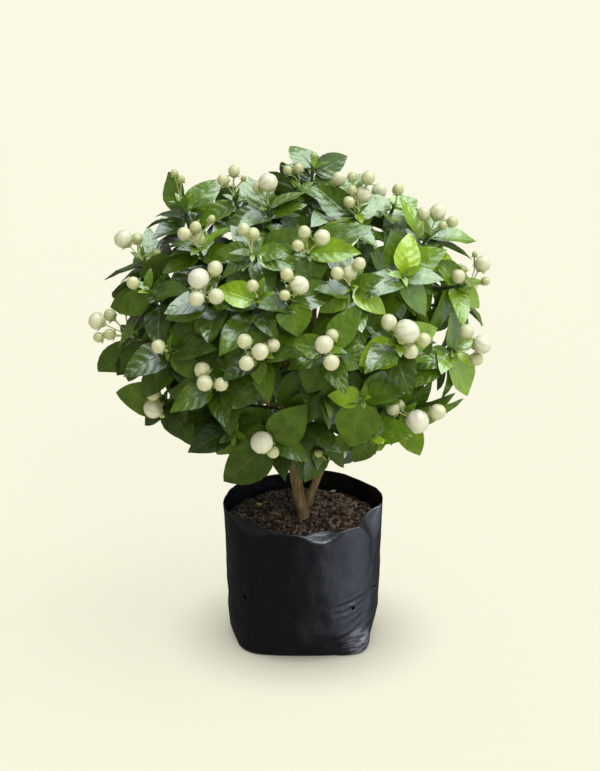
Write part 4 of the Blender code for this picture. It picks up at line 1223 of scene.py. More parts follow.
# %% Table of shoots
SHOOTS = {
    "left_top": (
        (
            (-165, -50, 445), ((-19, 21, 19), (-6, 22, 12), (15, 7, 9)),
            ((87, 37, 16), (190, 50, 18), (178, 38, 14)),
        ),
        (
            (-105, -100, 470), ((-13, 13, 14), (-2, 20, 12), (0, 9, 14), (14, 28, 8)),
            ((45, 44, 18), (175, 37, 16)),
        ),
        ((-125, -30, 500), ((-7, 30, 8), (0, 24, 8)), ((117, 52, 20), (42, 46, 20), (172, 42, 14))),
    ),
    "left": (
        (
            (-175, -60, 365), ((-38, 17, 18), (-25, 23, 13), (-36, 0, 11), (-25, 3, 12), (-10, 30, 12)),
            ((222, 66, 22), (254, 48, 18)),
        ),
        ((-155, -110, 430), ((-14, 6, 13),), ((203, 38, 18),)),
        ((-135, -140, 375), ((-8, 4, 14),), ((235, 41, 18), (320, 38, 20), (60, 42, 24))),
    ),
    "left_low": (
        ((-145, -80, 300), ((-10, 9, 14), (-11, -6, 20), (-2, -12, 8)), ((172, 54, 34), (293, 50, 36))),
        (
            (-90, -155, 345), ((-7, 1, 16), (9, 0, 14), (-10, 14, 16)),
            ((110, 40, 33), (195, 45, 27), (345, 42, 33)),
        ),
        ((-72, -110, 275), (), ((235, 34, 22), (290, 46, 30), (20, 40, 26))),
    ),
    "front_top": (
        ((-35, -85, 510), ((0, 22, 19), (-10, 18, 12)), ((40, 40, 16), (190, 40, 22))),
        ((-70, -50, 510), ((-11, 17, 12), (0, 26, 12), (10, 19, 6)), ((55, 34, 18), (200, 42, 24))),
        ((-5, -20, 515), ((-11, 16, 10), (0, 18, 11)), ((145, 35, 14), (330, 40, 22))),
        ((-50, -140, 475), ((-8, 22, 13), (1, 18, 13)), ((170, 34, 19), (350, 42, 26))),
    ),
    "front": (
        (
            (-45, -170, 380), ((-12, 13, 15), (3, 3, 17), (-10, -8, 15), (15, 9, 14)),
            ((60, 32, 23), (270, 26, 16), (190, 46, 28)),
        ),
        (
            (-95, -145, 435), ((-7, 14, 21), (9, 24, 15), (-9, -5, 16), (10, -3, 16)),
            ((345, 30, 18), (200, 46, 28), (250, 44, 28)),
        ),
        ((-45, -160, 435), ((-4, 11, 12),), ((160, 38, 24),)),
        ((-10, -160, 435), ((-6, 22, 13), (6, 12, 19), (-8, 2, 11)), ((280, 30, 31), (20, 44, 26))),
        ((-80, -95, 385),),
    ),
    "front_low": (
        (
            (25, -170, 385), ((-5, 5, 18), (3, 14, 13), (2, -12, 16)),
            ((55, 50, 25), (165, 36, 22), (245, 41, 34), (335, 34, 20)),
        ),
        ((-35, -125, 270), ((-7, 3, 23), (4, -7, 13)), ((45, 49, 35), (221, 68, 38), (170, 34, 22))),
        ((25, -70, 235), ((-9, 6, 9), (2, 11, 8), (13, 6, 16)), ((235, 28, 16), (300, 36, 18))),
        ((28, -125, 318), (), ((110, 44, 26), (205, 46, 28), (320, 46, 28))),
        ((-20, -110, 350),),
    ),
    "top": (
        ((10, -2, 534), ((1, 9, 7),), ((118, 42, 26), (27, 42, 14), (12, 32, 12))),
        ((35, -40, 510), ((1, 16, 15),), ((150, 40, 22), (350, 44, 24))),
        (
            (55, -70, 500), ((-6, 34, 10), (10, 33, 14), (-6, 21, 10), (5, 17, 17), (-9, 9, 12)),
            ((133, 52, 24), (190, 30, 14), (60, 26, 14)),
        ),
        ((5, -140, 475), ((-4, 19, 13), (-10, 6, 12), (13, 14, 16)), ((280, 30, 28),)),
    ),
    "right_top": (
        ((95, -15, 495), ((3, 15, 12),), ((150, 30, 20), (265, 40, 20))),
        (
            (130, -40, 470), ((-7, 20, 14), (8, 22, 17), (13, 8, 9), (23, 12, 12)),
            ((7, 57, 26), (120, 50, 26), (230, 44, 24)),
        ),
        (
            (170, -35, 415), ((16, 21, 17), (-9, 8, 15), (-3, 16, 8), (19, 3, 9), (8, 31, 6)),
            ((128, 40, 20), (318, 34, 16), (248, 54, 26), (298, 40, 16)),
        ),
        ((100, -130, 450), (), ((80, 40, 24), (200, 42, 24), (310, 42, 26))),
    ),
    "right": (
        (
            (160, -60, 350), ((9, 20, 16), (25, 7, 20), (20, -8, 14)),
            ((85, 41, 22), (298, 52, 32), (235, 41, 24)),
        ),
        (
            (95, -145, 385), ((-11, 20, 16), (7, 11, 25), (11, -8, 16), (24, 3, 14)),
            ((20, 40, 27), (210, 38, 30), (305, 36, 22)),
        ),
        ((45, -150, 445), ((-12, 11, 13), (0, 12, 15), (9, 20, 13)), ((330, 38, 23), (210, 34, 22))),
        ((48, -115, 395),),
    ),
    "right_low": (
        (
            (108, -80, 285), ((-15, 8, 14), (-8, 12, 12), (10, -5, 25), (31, 5, 17)),
            ((6, 60, 26), (290, 50, 20), (265, 36, 20)),
        ),
        ((60, -140, 325), (), ((258, 52, 40), (175, 30, 20), (30, 44, 28))),
        ((70, -100, 268), (), ((247, 36, 24), (302, 28, 22), (350, 40, 24))),
    ),
    "back_left": (
        ((-182, 30, 385), ((-10, 8, 17), (8, 12, 13), (1, -6, 14))),
        ((-140, 90, 445), ((-6, 10, 16), (9, 6, 12))),
        ((-115, 130, 345), ((-9, 6, 14), (4, 12, 18), (10, -3, 12))),
        ((-155, 50, 295),),
    ),
    "back_top": (
        ((-20, 130, 475), ((-9, 9, 15), (6, 12, 18), (12, -2, 12))),
        ((-80, 62, 484), ((-7, 10, 14), (6, 14, 12))),
        ((0, 85, 500), ((-6, 12, 16), (8, 9, 13), (0, -2, 11))),
        ((75, 76, 478), ((-4, 10, 17), (9, 3, 12))),
    ),
    "back_right": (
        ((172, 35, 385), ((-8, 10, 16), (7, 10, 14), (2, -6, 12))),
        ((135, 90, 445), ((-9, 8, 14), (5, 11, 18))),
        ((110, 130, 345), ((-6, 9, 18), (9, 7, 13), (3, -7, 13))),
        ((50, 155, 415), ((-9, 4, 14), (5, 9, 16))),
    ),
    "back_low": (
        ((-45, 155, 335), ((-7, 8, 16), (8, 7, 14), (0, -7, 12))),
        ((40, 135, 290), ((-5, 8, 14), (8, 4, 16))),
        ((-100, 95, 265),),
        ((130, 60, 280),),
    ),
}
# The large leaves of a shoot whose row names none.
PLAIN_LEAVES = ((70, 48, 28), (210, 52, 30), (325, 50, 29))
print(sum(len(rows) for rows in SHOOTS.values()), "shoots grow on", len(SHOOTS), "branches")

# %% Grow the shoots
GAP = 0.3 * MM
SHOOT_RADII = (1.9, 1.8, 1.7, 1.6)
SHOOT_OUTWARD = 0.65
SHOOT_RISE = 0.30
SHOOT_STEPS = 2
LEADER_START = 0.25
LEADER_END = 0.30
FORK_SHARES = (0.16, 0.34, 0.50, 0.64)
FACING_FRONT = Vector((0.0, -0.95, 0.31)).normalized()
FACING_RISE = 0.31


class Shoot:
    """One shoot of a leafy branch, with what it carries."""

    def __init__(self, branch, tip, buds=(), leaves=()):
        self.branch = branch
        self.tip = millimetres(tip)
        self.buds = buds
        self.large_leaves = leaves or PLAIN_LEAVES
        self.path = []
        outward = crown_out(self.tip)
        if self.tip.y < 0:
            self.facing = FACING_FRONT
        else:
            flat = Vector((outward.x, outward.y, 0.0)).normalized()
            self.facing = (flat + UP * FACING_RISE).normalized()
        self.right = UP.cross(self.facing).normalized()
        self.up = self.facing.cross(self.right)
        self.heading = outward.lerp(self.facing, 1.0 - SHOOT_OUTWARD) + UP * SHOOT_RISE
        self.heading.normalize()
        self.end_heading = self.heading


def grow_branch(name, rows):
    """The shoots of a branch: the leader goes on from its limb, and the others fork from it."""
    shoots = [Shoot(name, *row) for row in rows]
    limb = limb_path(name)
    on = (limb[-1] - limb[-2]).normalized()
    leader = shoots[0]
    start = limb[-1] + on * GAP
    span = (leader.tip - start).length
    leader.path = [
        start,
        start + on * LEADER_START * span,
        leader.tip - leader.heading * LEADER_END * span,
        leader.tip,
    ]
    for shoot, share in zip(shoots[1:], FORK_SHARES):
        fork = along_path(leader.path, share)
        shoot.path = bent_path(fork, shoot.tip, shoot.heading, SHOOT_STEPS)
    for shoot in shoots:
        shoot.end_heading = (shoot.path[-1] - shoot.path[-2]).normalized()
    return shoots


branches = {name: grow_branch(name, rows) for name, rows in SHOOTS.items()}
all_shoots = [shoot for shoots in branches.values() for shoot in shoots]
print("the highest shoot ends", round(max(shoot.tip.z for shoot in all_shoots) / MM), "mm up")

# %% [markdown]
# ### One leaf's place
#
# A leaf is told by its root, the direction of its midrib, the side it faces, its length and its
# width. The coarse blade is a four-sided sphere, flattened into a leaf. It serves here only to try
# a place out: where its slightly swollen copy meets something that grew before, the leaf turns,
# slides and shrinks a little and tries again. Search trees make such a test quick.

# %% Rule for one leaf
LARGE_OUTLINE = ((0.12, 0.13), (0.38, 1.00), (0.73, 0.64))
SMALL_OUTLINE = ((0.38, 1.00), (0.73, 0.64))
LEAF_HALF_THICKNESS = 0.62 * MM
NEARLY_NONE = 0.01
LEAF_ROOT = -0.3 * MM
LEAF_FOLD = 0.16
LEAF_ARCH = 0.14


def leaf_template(rings):
    """A four-sided sphere whose poles become root and tip, split alike on both faces."""
    shape = new_shape()
    bmesh.ops.create_uvsphere(shape, u_segments=4, v_segments=rings, radius=1.0)
    for face in [face for face in shape.faces if len(face.verts) == 4]:
        margin = min((v for v in face.verts if abs(v.co.x) > NEARLY_NONE), key=lambda v: v.co.z)
        rib = max((v for v in face.verts if abs(v.co.x) <= NEARLY_NONE), key=lambda v: v.co.z)
        bmesh.utils.face_split(face, margin, rib)
    return finished_mesh(f"leaf_{rings}_rings", shape)


COARSE_BLADES = {
    len(outline): leaf_template(len(outline) + 1) for outline in (LARGE_OUTLINE, SMALL_OUTLINE)
}


class Leaf:
    """A leaf's place and size, and the points of its coarse blade."""

    def __init__(self, root, axis, face, length, width, outline):
        self.root = root
        self.axis = axis.normalized()
        self.side = self.axis.cross(face).normalized()
        self.face = self.side.cross(self.axis)
        self.length = length
        self.width = width
        self.outline = outline

    def point(self, corner, swell):
        """Where one corner of the template goes, on a blade that is folded and arched."""
        stations = ((LEAF_ROOT / self.length, 0.0), *self.outline, (1.0, 0.0))
        last = len(stations) - 1
        ring = round(last * (1.0 - math.acos(max(-1.0, min(1.0, corner.z))) / math.pi))
        along, across = stations[ring]
        x = 0.0
        lift = 0.0
        if 0 < ring < last and abs(corner.x) > NEARLY_NONE:
            x = math.copysign(across * self.width / 2.0 + swell, corner.x)
        if 0 < ring < last and abs(corner.y) > NEARLY_NONE:
            lift = -math.copysign(LEAF_HALF_THICKNESS + swell, corner.y)
        sag = LEAF_FOLD * abs(x) - LEAF_ARCH * self.length * along * along
        return self.root + self.side * x + self.axis * self.length * along + self.face * (lift + sag)

    def mesh(self, swell=0.0):
        """The closed coarse blade, or a slightly swollen one for the clearance test."""
        mesh = COARSE_BLADES[len(self.outline)].copy()
        for vertex in mesh.vertices:
            vertex.co = self.point(vertex.co, swell)
        return mesh


print("a coarse blade has", len(COARSE_BLADES[3].polygons), "faces")

# %% Room in the crown
def tree_of(mesh, left_out=None):
    """A search tree over a mesh, without the faces at one corner."""
    points = [vertex.co.copy() for vertex in mesh.vertices]
    faces = [tuple(face.vertices) for face in mesh.polygons if left_out not in face.vertices]
    return BVHTree.FromPolygons(points, faces)


def corners_of(mesh):
    """The lowest and the highest corner of a mesh's box."""
    places = corner_array(mesh)
    return places.min(axis=0), places.max(axis=0)


class Room:
    """What is already placed, for keeping each new leaf clear of it."""

    def __init__(self):
        self.taken = []

    def add(self, owner, mesh):
        self.taken.append((owner, *corners_of(mesh), tree_of(mesh)))

    def is_clear(self, mesh, own, root):
        """Whether a swollen blade misses all else. Its root may touch its own branch."""
        low, high = corners_of(mesh)
        whole = tree_of(mesh)
        blade = tree_of(mesh, root)
        for owner, near, far, tree in self.taken:
            if (low > far).any() or (high < near).any():
                continue
            if (blade if owner == own else whole).overlap(tree):
                return False
        return True


room = Room()
room.add("trunk", frame["nodes"]["trunk"].data)
for name, shoots in branches.items():
    for shoot in shoots:
        stem = tube_mesh("stem", shoot.path, [radius * MM for radius in SHOOT_RADII])
        room.add(name, stem)
        bpy.data.meshes.remove(stem)
for name in sorted(frame["nodes"]):
    if name.startswith("bud_cluster"):
        room.add(name, frame["nodes"][name].data)
print(len(room.taken), "things already stand in the crown")

# %% [markdown]
# ### The leaves that the solids have
#
# Every shoot has the large leaves of its row, and many have a pair of leaves lower down. A leaf
# that finds a place is kept, and its coarse blade goes into the room, so that the next one misses
# it. The seeds and the order are those of the solids, so that the same leaves come out.

# %% Rules for the large leaves and the pairs
LEAF_SLIMMEST = 0.54
LEAF_SLANT = 1.15
LEAF_LEAN = 0.6
LEAF_LEAN_HOLD = 0.2
LEAF_FACE = (0.6, 0.5, 0.3)
PAIR_FACE = (0.7, 0.6)
LEAF_TILT = 8.0
LEAF_DEPTHS = (7 * MM, 9 * MM, 19 * MM, 21 * MM)
LEAF_MARGIN = 0.35 * MM
LEAF_TRIES = 60
LEAF_STRAY = {"turn": 0.7, "tilt": 0.5, "slide": 0.4 * MM, "shrink": 0.004}
PAIR_DEPTH = 36 * MM
PAIR_TWIST = 45.0
PAIR_PITCH = 68.0
PAIR_DROOP = 0.25
PAIR_TILT = 6.0
PAIR_LENGTH = (54 * MM, 68 * MM)
PAIR_WIDTH_SHARE = 0.58
PAIR_STRAY = {"turn": 0.5, "tilt": 0.4, "slide": 0.1 * MM, "shrink": 0.005}
PAIR_LIMIT = 3
PAIR_SKIP = 5
LARGE_LEAF_SEED = 1000
PAIR_SEED = 2000


def turned(rng, vector, degrees):
    """A vector turned by a random rotation of up to so many degrees."""
    axis = scatter(rng).normalized()
    return Matrix.Rotation(math.radians(rng.uniform(0.0, degrees)), 3, axis) @ vector


def large_leaf(rng, shoot, attempt, index, row):
    """A large leaf as the row asks, or one that strays from it more with each attempt."""
    clock, length, width = row
    size = LEAF_SLANT * MM * (1.0 - LEAF_STRAY["shrink"] * attempt)
    seen = shoot.right * math.cos(math.radians(clock)) + shoot.up * math.sin(math.radians(clock))
    outward = crown_out(shoot.tip)
    facing_share = outward.dot(shoot.facing)
    lean = -LEAF_LEAN * seen.dot(outward) * facing_share / (LEAF_LEAN_HOLD + facing_share**2)
    axis = turned(rng, seen + shoot.facing * lean, LEAF_STRAY["turn"] * attempt)
    face = outward * LEAF_FACE[0] + shoot.facing * LEAF_FACE[1] + UP * LEAF_FACE[2]
    face = turned(rng, face, LEAF_TILT + LEAF_STRAY["tilt"] * attempt)
    depth = LEAF_DEPTHS[index % len(LEAF_DEPTHS)] + rng.uniform(0.0, LEAF_STRAY["slide"]) * attempt
    root, _ = below_tip(shoot.path, depth)
    full_width = max(width, LEAF_SLIMMEST * length)
    roll = math.acos(width / full_width) * rng.choice((-1.0, 1.0))
    face = Matrix.Rotation(roll, 3, axis.normalized()) @ face
    outline = SMALL_OUTLINE if shoot.large_leaves is PLAIN_LEAVES else LARGE_OUTLINE
    return Leaf(root, axis, face, length * size, full_width * size, outline)


def level_side(heading, degrees):
    """The direction square to a heading that lies so many degrees round it from the level one."""
    level = heading.cross(UP).normalized()
    return Matrix.Rotation(math.radians(degrees), 3, heading) @ level


def spread(heading, side, degrees):
    """The direction that stands off a heading by so many degrees, towards a side."""
    pitch = math.radians(degrees)
    return heading * math.cos(pitch) + side * math.sin(pitch)


def pair_leaf(rng, shoot, attempt, twist):
    """One leaf of a pair on the shoot's lower part."""
    slide = PAIR_STRAY["slide"] * attempt
    turn = PAIR_STRAY["turn"] * attempt
    root, heading = below_tip(shoot.path, PAIR_DEPTH + rng.uniform(-slide, slide))
    side = level_side(heading, twist + rng.uniform(-turn, turn))
    axis = spread(heading, side, PAIR_PITCH + rng.uniform(-turn, turn)) - UP * PAIR_DROOP
    face = heading * PAIR_FACE[0] + UP * PAIR_FACE[1]
    face = turned(rng, face, PAIR_TILT + PAIR_STRAY["tilt"] * attempt)
    length = rng.uniform(*PAIR_LENGTH) * (1.0 - PAIR_STRAY["shrink"] * attempt)
    return Leaf(root, axis, face, length, length * PAIR_WIDTH_SHARE, SMALL_OUTLINE)


def fit_leaf(rng, shoot, maker, tries=LEAF_TRIES, margin=LEAF_MARGIN):
    """Try a leaf in place after place until one is clear, or give it up."""
    for attempt in range(tries):
        leaf = maker(rng, shoot, attempt)
        trial = leaf.mesh(margin)
        root = min(range(len(trial.vertices)), key=lambda i: (trial.vertices[i].co - leaf.root).length)
        fits = room.is_clear(trial, shoot.branch, root)
        bpy.data.meshes.remove(trial)
        if fits:
            mesh = leaf.mesh()
            room.add(shoot.branch, mesh)
            bpy.data.meshes.remove(mesh)
            return [leaf]
    return []


print("a leaf is tried in up to", LEAF_TRIES, "places")

# %% Grow the large leaves and the pairs
leaves = {name: [] for name in branches}
for number, shoot in enumerate(all_shoots):
    rng = random.Random(LARGE_LEAF_SEED + number)
    for index, row in enumerate(shoot.large_leaves):
        leaves[shoot.branch] += fit_leaf(rng, shoot, partial(large_leaf, index=index, row=row))
for number, shoot in enumerate(all_shoots):
    rng = random.Random(PAIR_SEED + number)
    if len(shoot.large_leaves) < PAIR_LIMIT or number % PAIR_SKIP == 0:
        for twist in (PAIR_TWIST, PAIR_TWIST + 180.0):
            leaves[shoot.branch] += fit_leaf(rng, shoot, partial(pair_leaf, twist=twist))
print(sum(len(group) for group in leaves.values()), "leaves stand where the solids have them")

# %% [markdown]
# ### More leaves
#
# The solids carry only the leaves that give the crown its outline. A real bush is denser: its
# leaves stand in pairs, each pair crosswise to the one above, all the way down a shoot, and the tip
# ends in a few small young ones. They are added here by the same trial, with fewer tries, because
# one that finds no room would hardly be seen.

# %% Rules for the extra leaves
# Depths below a shoot's tip and lengths, in mm. The shoots at the back have only a few plain
# leaves among the solids, so they get a second row of depths.
EXTRA_DEPTHS = (14.0, 27.0, 46.0, 62.0, 80.0, 100.0, 122.0, 146.0)
BACK_DEPTHS = (7.0, 20.0, 36.0, 54.0, 71.0, 90.0, 111.0, 134.0)
EXTRA_LENGTH = (36.0, 56.0)
EXTRA_WIDTH_SHARE = (0.52, 0.64)
EXTRA_PITCH = (50.0, 78.0)
EXTRA_SHRINK = 0.025
YOUNG_DEPTH = (1.0, 7.0)
YOUNG_LENGTH = (11.0, 23.0)
YOUNG_WIDTH_SHARE = 0.46
YOUNG_PITCH = (28.0, 62.0)


def extra_leaf(rng, shoot, attempt, depth, twist):
    """A leaf of an extra pair, which faces outwards and a little up."""
    wander = 10.0 + 4.0 * attempt
    root, heading = below_tip(shoot.path, (depth + rng.uniform(-2.0, 2.0)) * MM)
    side = level_side(heading, twist + rng.uniform(-wander, wander))
    axis = spread(heading, side, rng.uniform(*EXTRA_PITCH)) - UP * rng.uniform(0.0, 0.35)
    face = turned(rng, heading * 0.6 + UP * 0.6 + shoot.facing * 0.3, 14.0)
    length = rng.uniform(*EXTRA_LENGTH) * MM * (1.0 - EXTRA_SHRINK * attempt)
    width = length * rng.uniform(*EXTRA_WIDTH_SHARE)
    return Leaf(root, axis, face, length, width, SMALL_OUTLINE)


def young_leaf(rng, shoot, attempt, twist):
    """A small young leaf that still points up along its shoot."""
    root, heading = below_tip(shoot.path, rng.uniform(*YOUNG_DEPTH) * MM)
    side = level_side(heading, twist + rng.uniform(-25.0, 25.0))
    axis = spread(heading, side, rng.uniform(*YOUNG_PITCH) + 2.0 * attempt) + UP * 0.15
    face = turned(rng, heading * 0.5 + UP * 0.5 - side * 0.3, 12.0)
    length = rng.uniform(*YOUNG_LENGTH) * MM
    return Leaf(root, axis, face, length, length * YOUNG_WIDTH_SHARE, SMALL_OUTLINE)


print("a shoot at the back may get", 2 * len(EXTRA_DEPTHS + BACK_DEPTHS), "extra leaves")

# %% Table of the leaves at the edge
# Leaves that show at the crown's edge or through a gap: branch and shoot, then rows of clock angle,
# length and width as in the table of shoots.
EDGE_LEAVES = {
    ("top", 0): ((102, 36, 20),),
    ("left_top", 0): ((207, 38, 17), (158, 36, 15)),
    ("left_top", 1): ((150, 34, 15),),
    ("left", 0): ((160, 30, 14), (285, 34, 16), (228, 62, 26)),
    ("left", 1): ((196, 48, 20), (214, 42, 18), (180, 40, 18)),
    ("left_low", 0): ((298, 54, 30), (312, 50, 28)),
    ("left_low", 2): ((350, 50, 26), (15, 50, 26), (330, 44, 24), (300, 52, 22)),
    ("right_top", 1): ((350, 52, 22), (335, 46, 20)),
    ("right_top", 2): ((108, 46, 20), (60, 30, 14), (285, 40, 16), (20, 34, 14), (145, 46, 20)),
    ("right", 0): (
        (270, 46, 24), (252, 30, 18), (10, 26, 12),
        (200, 40, 20), (225, 50, 22), (262, 56, 22),
    ),
    ("right_low", 0): (
        (14, 56, 26), (300, 46, 24), (314, 42, 18), (340, 30, 14),
        (75, 60, 26), (58, 50, 22), (95, 50, 24), (40, 42, 20),
    ),
    ("right_low", 2): (
        (275, 34, 20), (290, 48, 22), (318, 46, 22),
        (200, 50, 26), (170, 46, 24), (225, 44, 24),
    ),
    ("front_low", 2): (
        (330, 30, 17), (286, 38, 18), (312, 42, 20),
        (90, 44, 24), (120, 44, 24), (60, 44, 24),
    ),
    ("front_low", 4): ((270, 52, 28), (240, 48, 26), (300, 48, 26)),
    ("back_right", 0): (
        (270, 52, 28), (230, 48, 26), (310, 48, 26),
        (90, 52, 28), (40, 46, 24), (140, 46, 24),
    ),
    ("back_left", 0): ((90, 50, 28), (40, 46, 24), (140, 46, 24), (250, 48, 26)),
    ("back_left", 3): ((90, 54, 28), (45, 48, 26), (135, 48, 26), (200, 46, 24), (340, 46, 24)),
    ("back_low", 0): ((0, 56, 30), (180, 56, 30), (225, 50, 28), (315, 50, 28)),
}
print(sum(len(rows) for rows in EDGE_LEAVES.values()), "leaves are placed at the edge")

# %% Grow the extra leaves
EXTRA_TRIES = 9
EXTRA_MARGIN = 0.1 * MM
EDGE_SEED = 3500
EXTRA_SEED = 3000
YOUNG_SEED = 4000

fit_extra = partial(fit_leaf, tries=EXTRA_TRIES, margin=EXTRA_MARGIN)
extra_leaves = {name: [] for name in branches}
young_leaves = {name: [] for name in branches}
for (name, index), rows in EDGE_LEAVES.items():
    rng = random.Random(EDGE_SEED + index)
    for place, row in enumerate(rows, 1):
        maker = partial(large_leaf, index=place, row=row)
        extra_leaves[name] += fit_leaf(rng, branches[name][index], maker, margin=EXTRA_MARGIN)
for number, shoot in enumerate(all_shoots):
    rng = random.Random(EXTRA_SEED + number)
    depths = EXTRA_DEPTHS + (BACK_DEPTHS if shoot.branch.startswith("back") else ())
    for level, depth in enumerate(depths):
        if depth > path_length(shoot.path) / MM - 4.0:
            continue
        for twist in (90.0 * level + 20.0, 90.0 * level + 200.0):
            maker = partial(extra_leaf, depth=depth, twist=twist)
            extra_leaves[shoot.branch] += fit_extra(rng, shoot, maker)
    rng = random.Random(YOUNG_SEED + number)
    for twist in (0.0, 180.0, 90.0, 270.0):
        young_leaves[shoot.branch] += fit_extra(rng, shoot, partial(young_leaf, twist=twist))
for kind, groups in (("in pairs", extra_leaves), ("young", young_leaves)):
    print("added", sum(len(group) for group in groups.values()), "leaves,", kind)

# %% [markdown]
# ## The fine blade
#
# A jasmine leaf is a pointed oval on a short stalk, folded along its midrib and arched towards its
# tip. It is shaped here once, on a flat grid: a second layer is extruded from the first, and the
# rims of both are merged, so that the blade is closed and thins out to its margin. The template
# keeps its corners as (across, along, layer), and every leaf bends a copy of it into place. A UV
# map of the same two directions lets the finish draw veins on each leaf.

# %% Make the blade's template
# Where the blade's rows stand along its length. The first stretch is the leaf's own stalk.
BLADE_ROWS = (0.0, 0.07, 0.12, 0.22, 0.35, 0.49, 0.63, 0.77, 0.90, 1.0)
PLAIN_ROWS = (0.0, 0.07, 0.14, 0.28, 0.46, 0.65, 0.84, 1.0)
YOUNG_ROWS = (0.0, 0.06, 0.16, 0.36, 0.60, 0.82, 1.0)
BLADE_COLUMNS = 4


def blade_template(name, rows):
    """A closed blade with its corners at (across, along, layer), and those corners as an array."""
    shape = new_shape("tone", "upper")
    uv = shape.loops.layers.uv.new("blade")
    bmesh.ops.create_grid(shape, x_segments=BLADE_COLUMNS, y_segments=len(rows) - 1, size=1.0)
    for corner in shape.verts:
        corner.co.y = rows[round((corner.co.y + 1.0) / 2.0 * (len(rows) - 1))]
    lower = bmesh.ops.extrude_face_region(shape, geom=shape.faces[:], use_keep_orig=True)["geom"]
    for part in lower:
        if isinstance(part, bmesh.types.BMVert):
            part.co.z = -1.0
    for corner in shape.verts:
        upper = corner.co.z >= 0.0
        inside = abs(corner.co.x) < 0.99 and 0.0 < corner.co.y < 0.999
        corner.co.z = (1.0 if upper else -1.0) if inside else 0.0
        if corner.co.y > 0.999:
            corner.co.x = 0.0
    bmesh.ops.remove_doubles(shape, verts=shape.verts, dist=0.001)
    layer = shape.verts.layers.float["upper"]
    for corner in shape.verts:
        corner[layer] = 0.5 + 0.5 * corner.co.z
    for face in shape.faces:
        for loop in face.loops:
            loop[uv].uv = (0.5 + 0.5 * loop.vert.co.x, loop.vert.co.y)
    mesh = finished_mesh(name, shape)
    return mesh, corner_array(mesh)


full_blade = blade_template("full_blade", BLADE_ROWS)
plain_blade = blade_template("plain_blade", PLAIN_ROWS)
young_blade = blade_template("young_blade", YOUNG_ROWS)
for mesh, _ in (full_blade, plain_blade, young_blade):
    print("the", mesh.name, "has", len(mesh.polygons), "faces")

# %% Bend a blade into place
BLADE_THICKNESS = 0.32 * MM
STALK_SHARE = 0.07
STALK_HALF_WIDTH = 0.75 * MM
STALK_HALF_THICKNESS = 0.7 * MM
# The oval's greatest half-width before it is scaled to the leaf's own.
WIDEST = 0.393
MARGIN_RIPPLE = 0.030
RIPPLES = 11.0
PUCKER = 0.010
PUCKERS = 17.0
SWAY = 0.05
TIP_DROP = 2.2


def blade_places(leaf, corners, rng):
    """The corners of a template on one leaf."""
    across, along, layer = corners.T
    in_stalk = along < STALK_SHARE + 0.01
    share = np.clip((along - STALK_SHARE) / (1.0 - STALK_SHARE), 0.0, 1.0)
    oval = share**0.5 * (1.0 - share) ** 0.95 / WIDEST
    half = np.maximum(oval * leaf.width / 2.0, STALK_HALF_WIDTH * in_stalk)
    thick = np.where(in_stalk, STALK_HALF_THICKNESS, BLADE_THICKNESS)
    x = across * half
    y = along * leaf.length + LEAF_ROOT * (along <= 0.0)
    fold = leaf.fold * np.abs(x)
    arch = leaf.arch * leaf.length * along**TIP_DROP
    phase = rng.uniform(0.0, math.tau)
    ripple = np.sin(RIPPLES * along + phase + 1.7 * np.sign(across))
    ripple = MARGIN_RIPPLE * leaf.width * np.abs(across) ** 2 * ripple
    pucker = PUCKER * leaf.width * np.sin(PUCKERS * along + phase) * np.cos(2.5 * across)
    sway = rng.uniform(-SWAY, SWAY) * leaf.length * np.square(along) * (1.0 - 0.3 * along)
    blade = ease(share * 6.0)
    z = fold - arch + leaf.twist * x * along + (ripple + pucker) * blade + layer * thick
    root, axis, side, face = (np.array(v) for v in (leaf.root, leaf.axis, leaf.side, leaf.face))
    return root + np.outer(x + sway, side) + np.outer(y, axis) + np.outer(z, face)


def add_blade(foliage, leaf, blade, tone, rng):
    """Add one finished blade to a branch's foliage."""
    template, corners = blade
    mesh = template.copy()
    mesh.vertices.foreach_set("co", blade_places(leaf, corners, rng).ravel())
    mesh.attributes["tone"].data.foreach_set("value", [tone] * len(mesh.vertices))
    join_into(foliage, mesh)


print("blades are", round(2000 * BLADE_THICKNESS, 2), "mm thick at the midrib")

# %% [markdown]
# ### How green each leaf is
#
# Leaves low in the bush are darker, partly from their age and partly as painted shade. Leaves are
# painted lighter with height and towards the right, where the light comes from, so that the low
# ones there are lighter too: painted light. The extra pairs, which stand deeper, are painted a
# little darker as shade. The young growth at the shoot tips is a bright yellow-green, and a few
# leaves flush the same way, more often high up on the right, which is partly young growth and
# partly painted light. One number per leaf, its tone, carries this to the finish as an attribute.

# %% Tone of a leaf
CROWN_LOW = 240 * MM
CROWN_HIGH = 520 * MM
# Tone weights: those for height, the right and the low right are painted light and shade, the height
# one partly also the leaves' age; small is the paleness of small young leaves.
TONE_AND_LIGHT = {"base": 0.18, "height": 0.23, "right": 0.13, "small": 0.13, "low_right_light": 0.35}
TONE_STRAY = 0.09
LIT_SIDE_FLUSH = 0.32


def leaf_tone_and_light(rng, leaf, youth_and_shade):
    """0 for the darkest leaf and 1 for the brightest."""
    middle = leaf.root + leaf.axis * leaf.length * 0.5
    height = float(ease((middle.z - CROWN_LOW) / (CROWN_HIGH - CROWN_LOW)))
    right = float(np.clip(middle.x / CROWN_RADII.x, -1.0, 1.0))
    small = max(0.0, 1.0 - leaf.length / (50.0 * MM))
    tone = TONE_AND_LIGHT["base"] + TONE_AND_LIGHT["height"] * height + TONE_AND_LIGHT["right"] * right + TONE_AND_LIGHT["small"] * small
    tone += TONE_AND_LIGHT["low_right_light"] * max(0.0, right) * (1.0 - height) + youth_and_shade
    # The flush is young growth whose chance grows high up and on the right, where the light comes from,
    # so it is partly painted light.
    if rng.random() < 0.06 + 0.14 * height * max(0.0, right + 0.4):
        tone += LIT_SIDE_FLUSH
    return clamped(tone + rng.gauss(0.0, TONE_STRAY))


print("tones start at", TONE_AND_LIGHT["base"], "low in the crown")

# %% Build the foliage
STEM_SIDES = 2
STEM_NODE_SPACING = 15 * MM
FOLIAGE_SEED = 5000
STEM_SEED = 7000


